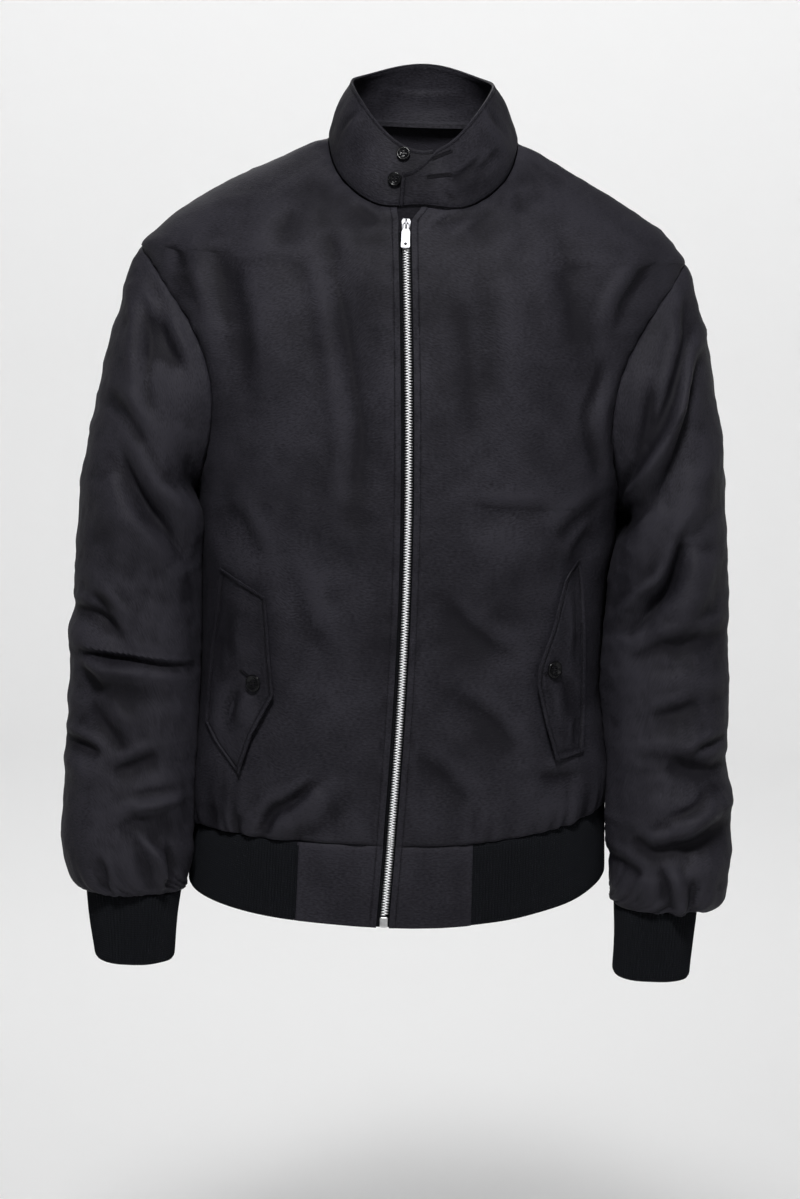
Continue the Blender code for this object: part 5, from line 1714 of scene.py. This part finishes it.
def pull_shells():
    """The pull: a ring that hangs on the bar under the bail, and a tab with a round hole. The ring
    is a rounded square, as cosine and sine raised to a power below 1."""
    p = PULL
    t = np.linspace(0, 2 * pi, 49)[:-1]
    tall, wide = p["eye_length"] / 2 + 0.0002, p["neck"] - 0.0006
    x, z = (np.sign(wave) * np.abs(wave) ** (2 / 3.2) for wave in (np.cos(t), np.sin(t)))
    loop = np.stack([wide * x, 0 * t, -tall + tall * z], -1)
    top, low, round_off = -p["eye_length"] + 0.0003, -p["length"], 0.0014
    outline = mirrored([(p["neck"] - 0.0006, top), (p["half"] - 0.0003, top - 0.0022),
                        (p["half"], low + round_off), (p["half"] - 0.0005, low + 0.0004),
                        (p["half"] - round_off, low)])
    centre = (0.0, p["hole_at"])
    tab = plate(spread(outline, centre=centre), centre, p["hole"], -p["thick"] / 2, p["thick"] / 2,
                0.0003, dish=0.0001)
    return [(bar(loop, (0, 1, 0), 0.0006, 0.0005, True), True, True), (tab, True, True)]


def box_shells():
    """The box at the zip's foot: a rounded block."""
    half, tall, corner = 0.0036, 0.0047, 0.0010
    outline = mirrored([(half, -tall + corner), (half, tall - corner), (half - corner, tall)])
    outline += [(-half + corner, -tall), (half - corner, -tall)]
    return [(plate(spread(outline), (0.0, 0.0), 0.0, -0.0010, 0.0014, 0.0010), True, False)]


def tape_end_shells():
    """The film that stiffens the tapes' ends behind the box: a thin plate as wide as both."""
    half, tall = TAPE_HALF - 0.0002, 0.0060
    outline = [(half, tall), (-half, tall), (-half, -tall), (half, -tall)]
    return [(plate(spread(outline), (0.0, 0.0), 0.0, 0.0020, 0.0028, 0.0002), True, False)]


def sew_button(context, name, size, at, facing):
    """Adds a button standing on a point of the cloth, and returns its threads' placements."""
    radius, thick = size
    at = at + facing * (thick * 0.5 + BUTTON_LIFT)
    attach(button_mesh(name + "_resin", radius, thick, at, facing, material(context, "resin")), "button",
           name)
    return thread_frames(at, facing, radius)


class JACKET_OT_buttons(bpy.types.Operator):
    """Adds the pocket and collar buttons, sewn on"""
    bl_idname = "jacket.buttons"
    bl_label = "Buttons"

    def execute(self, context):
        frames = []
        for side_name, (x, level) in POCKET_BUTTON_AT.items():
            grid, normal = flap_surface(side_name)
            near = np.argmin(np.hypot(grid[..., 0] - x, grid[..., 2] - level))
            at, facing = grid.reshape(-1, 3)[near], normal.reshape(-1, 3)[near]
            frames.append(sew_button(context, "pocket_button_" + side_name, POCKET_BUTTON, at, facing))
        for key, (x, share) in COLLAR_BUTTON_AT.items():
            at, facing = collar_point(float(np.arcsin(x / 0.078)), share)
            frames.append(sew_button(context, "collar_button_" + key, COLLAR_BUTTON, at, facing))
        add_stitches(context, "button_threads", frames)
        return {"FINISHED"}


def floor_sweep(floor):
    """The floor and its wall: a profile turned about the upright axis, flat from the middle out,
    then a quarter circle of one metre's radius, then straight up."""
    bend = np.linspace(0, pi / 2, 17)[1:]
    flat = np.linspace(0, BEND_START, 14)
    reach = np.concatenate((flat, BEND_START + np.sin(bend), [BEND_START + 1.0]))
    height = np.concatenate((0 * flat, 1 - np.cos(bend), [WALL_HIGH])) + floor
    turn = np.linspace(0, 2 * pi, 97)[:-1, None]
    points = np.stack([reach * np.cos(turn), reach * np.sin(turn), height + 0 * turn], -1)
    mesh = new_mesh("floor_sweep", points, corners(numbered(*points.shape[:2], rows_close=True)))
    rework(mesh, join=1e-5, turn_out=False)
    mesh.shade_smooth()
    return mesh


class JACKET_OT_stage(bpy.types.Operator):
    """Adds the floor sweep, the lights and the camera"""
    bl_idname = "jacket.stage"
    bl_label = "Stage"

    def execute(self, context):
        view, scene = context.scene.jacket_stage, context.scene
        add_object("floor_sweep", floor_sweep(view.floor), material(context, "stage"))
        for name, place, target, size, power in LAMPS:
            lamp = bpy.data.lights.new(name, "AREA")
            lamp.shape = "RECTANGLE"
            lamp.size, lamp.size_y = size
            lamp.energy = power * view.light
            holder = bpy.data.objects.new(name, lamp)
            holder.location = place
            holder.rotation_euler = (Vector(target) - Vector(place)).to_track_quat("-Z", "Y").to_euler()
            scene.collection.objects.link(holder)
        scene.world = bpy.data.worlds.new("studio_air")
        scene.world.use_nodes = True
        air = scene.world.node_tree.nodes["Background"]
        air.inputs["Color"].default_value = linear("#f4f4f6")
        air.inputs["Strength"].default_value = WORLD
        scene.view_settings.view_transform = "Standard"
        lens = bpy.data.cameras.new("view")
        lens.sensor_fit = "VERTICAL"
        lens.sensor_height = 36.0
        lens.lens = view.lens
        camera = bpy.data.objects.new("view", lens)
        tilt = Matrix.Rotation(pi / 2 - view.pitch, 4, "X") @ Matrix.Rotation(view.roll, 4, "Z")
        camera.matrix_world = Matrix.Translation((view.centre[0], -view.distance, view.centre[1])) @ tilt
        scene.collection.objects.link(camera)
        scene.camera = camera
        return {"FINISHED"}


class JACKET_PT_panel(bpy.types.Panel):
    """Lists the jacket's steps and settings"""
    bl_label = "Harrington jacket"
    bl_idname = "JACKET_PT_panel"
    bl_space_type = "VIEW_3D"
    bl_region_type = "UI"
    bl_category = "Jacket"

    def draw(self, context):
        for step in STEPS:
            self.layout.operator(step.bl_idname)
        for group in (context.scene.jacket_colours, context.scene.jacket_stage):
            for key in group.__annotations__:
                self.layout.prop(group, key)


STEPS = (JACKET_OT_body, JACKET_OT_sleeves, JACKET_OT_collar, JACKET_OT_bands, JACKET_OT_flaps,
         JACKET_OT_zip, JACKET_OT_buttons, JACKET_OT_stage)
CLASSES = (JacketColours, JacketStage, *STEPS, JACKET_PT_panel)


def register():
    """Registers the classes and the two groups of settings."""
    for item in CLASSES:
        bpy.utils.register_class(item)
    bpy.types.Scene.jacket_colours = PointerProperty(type=JacketColours)
    bpy.types.Scene.jacket_stage = PointerProperty(type=JacketStage)


def unregister():
    """Takes back what register did."""
    del bpy.types.Scene.jacket_colours
    del bpy.types.Scene.jacket_stage
    for item in reversed(CLASSES):
        bpy.utils.unregister_class(item)


def main():
    """Builds the jacket and its stage."""
    register()
    for step in STEPS:
        group, name = step.bl_idname.split(".")
        getattr(getattr(bpy.ops, group), name)()


if __name__ == "__main__":
    main()
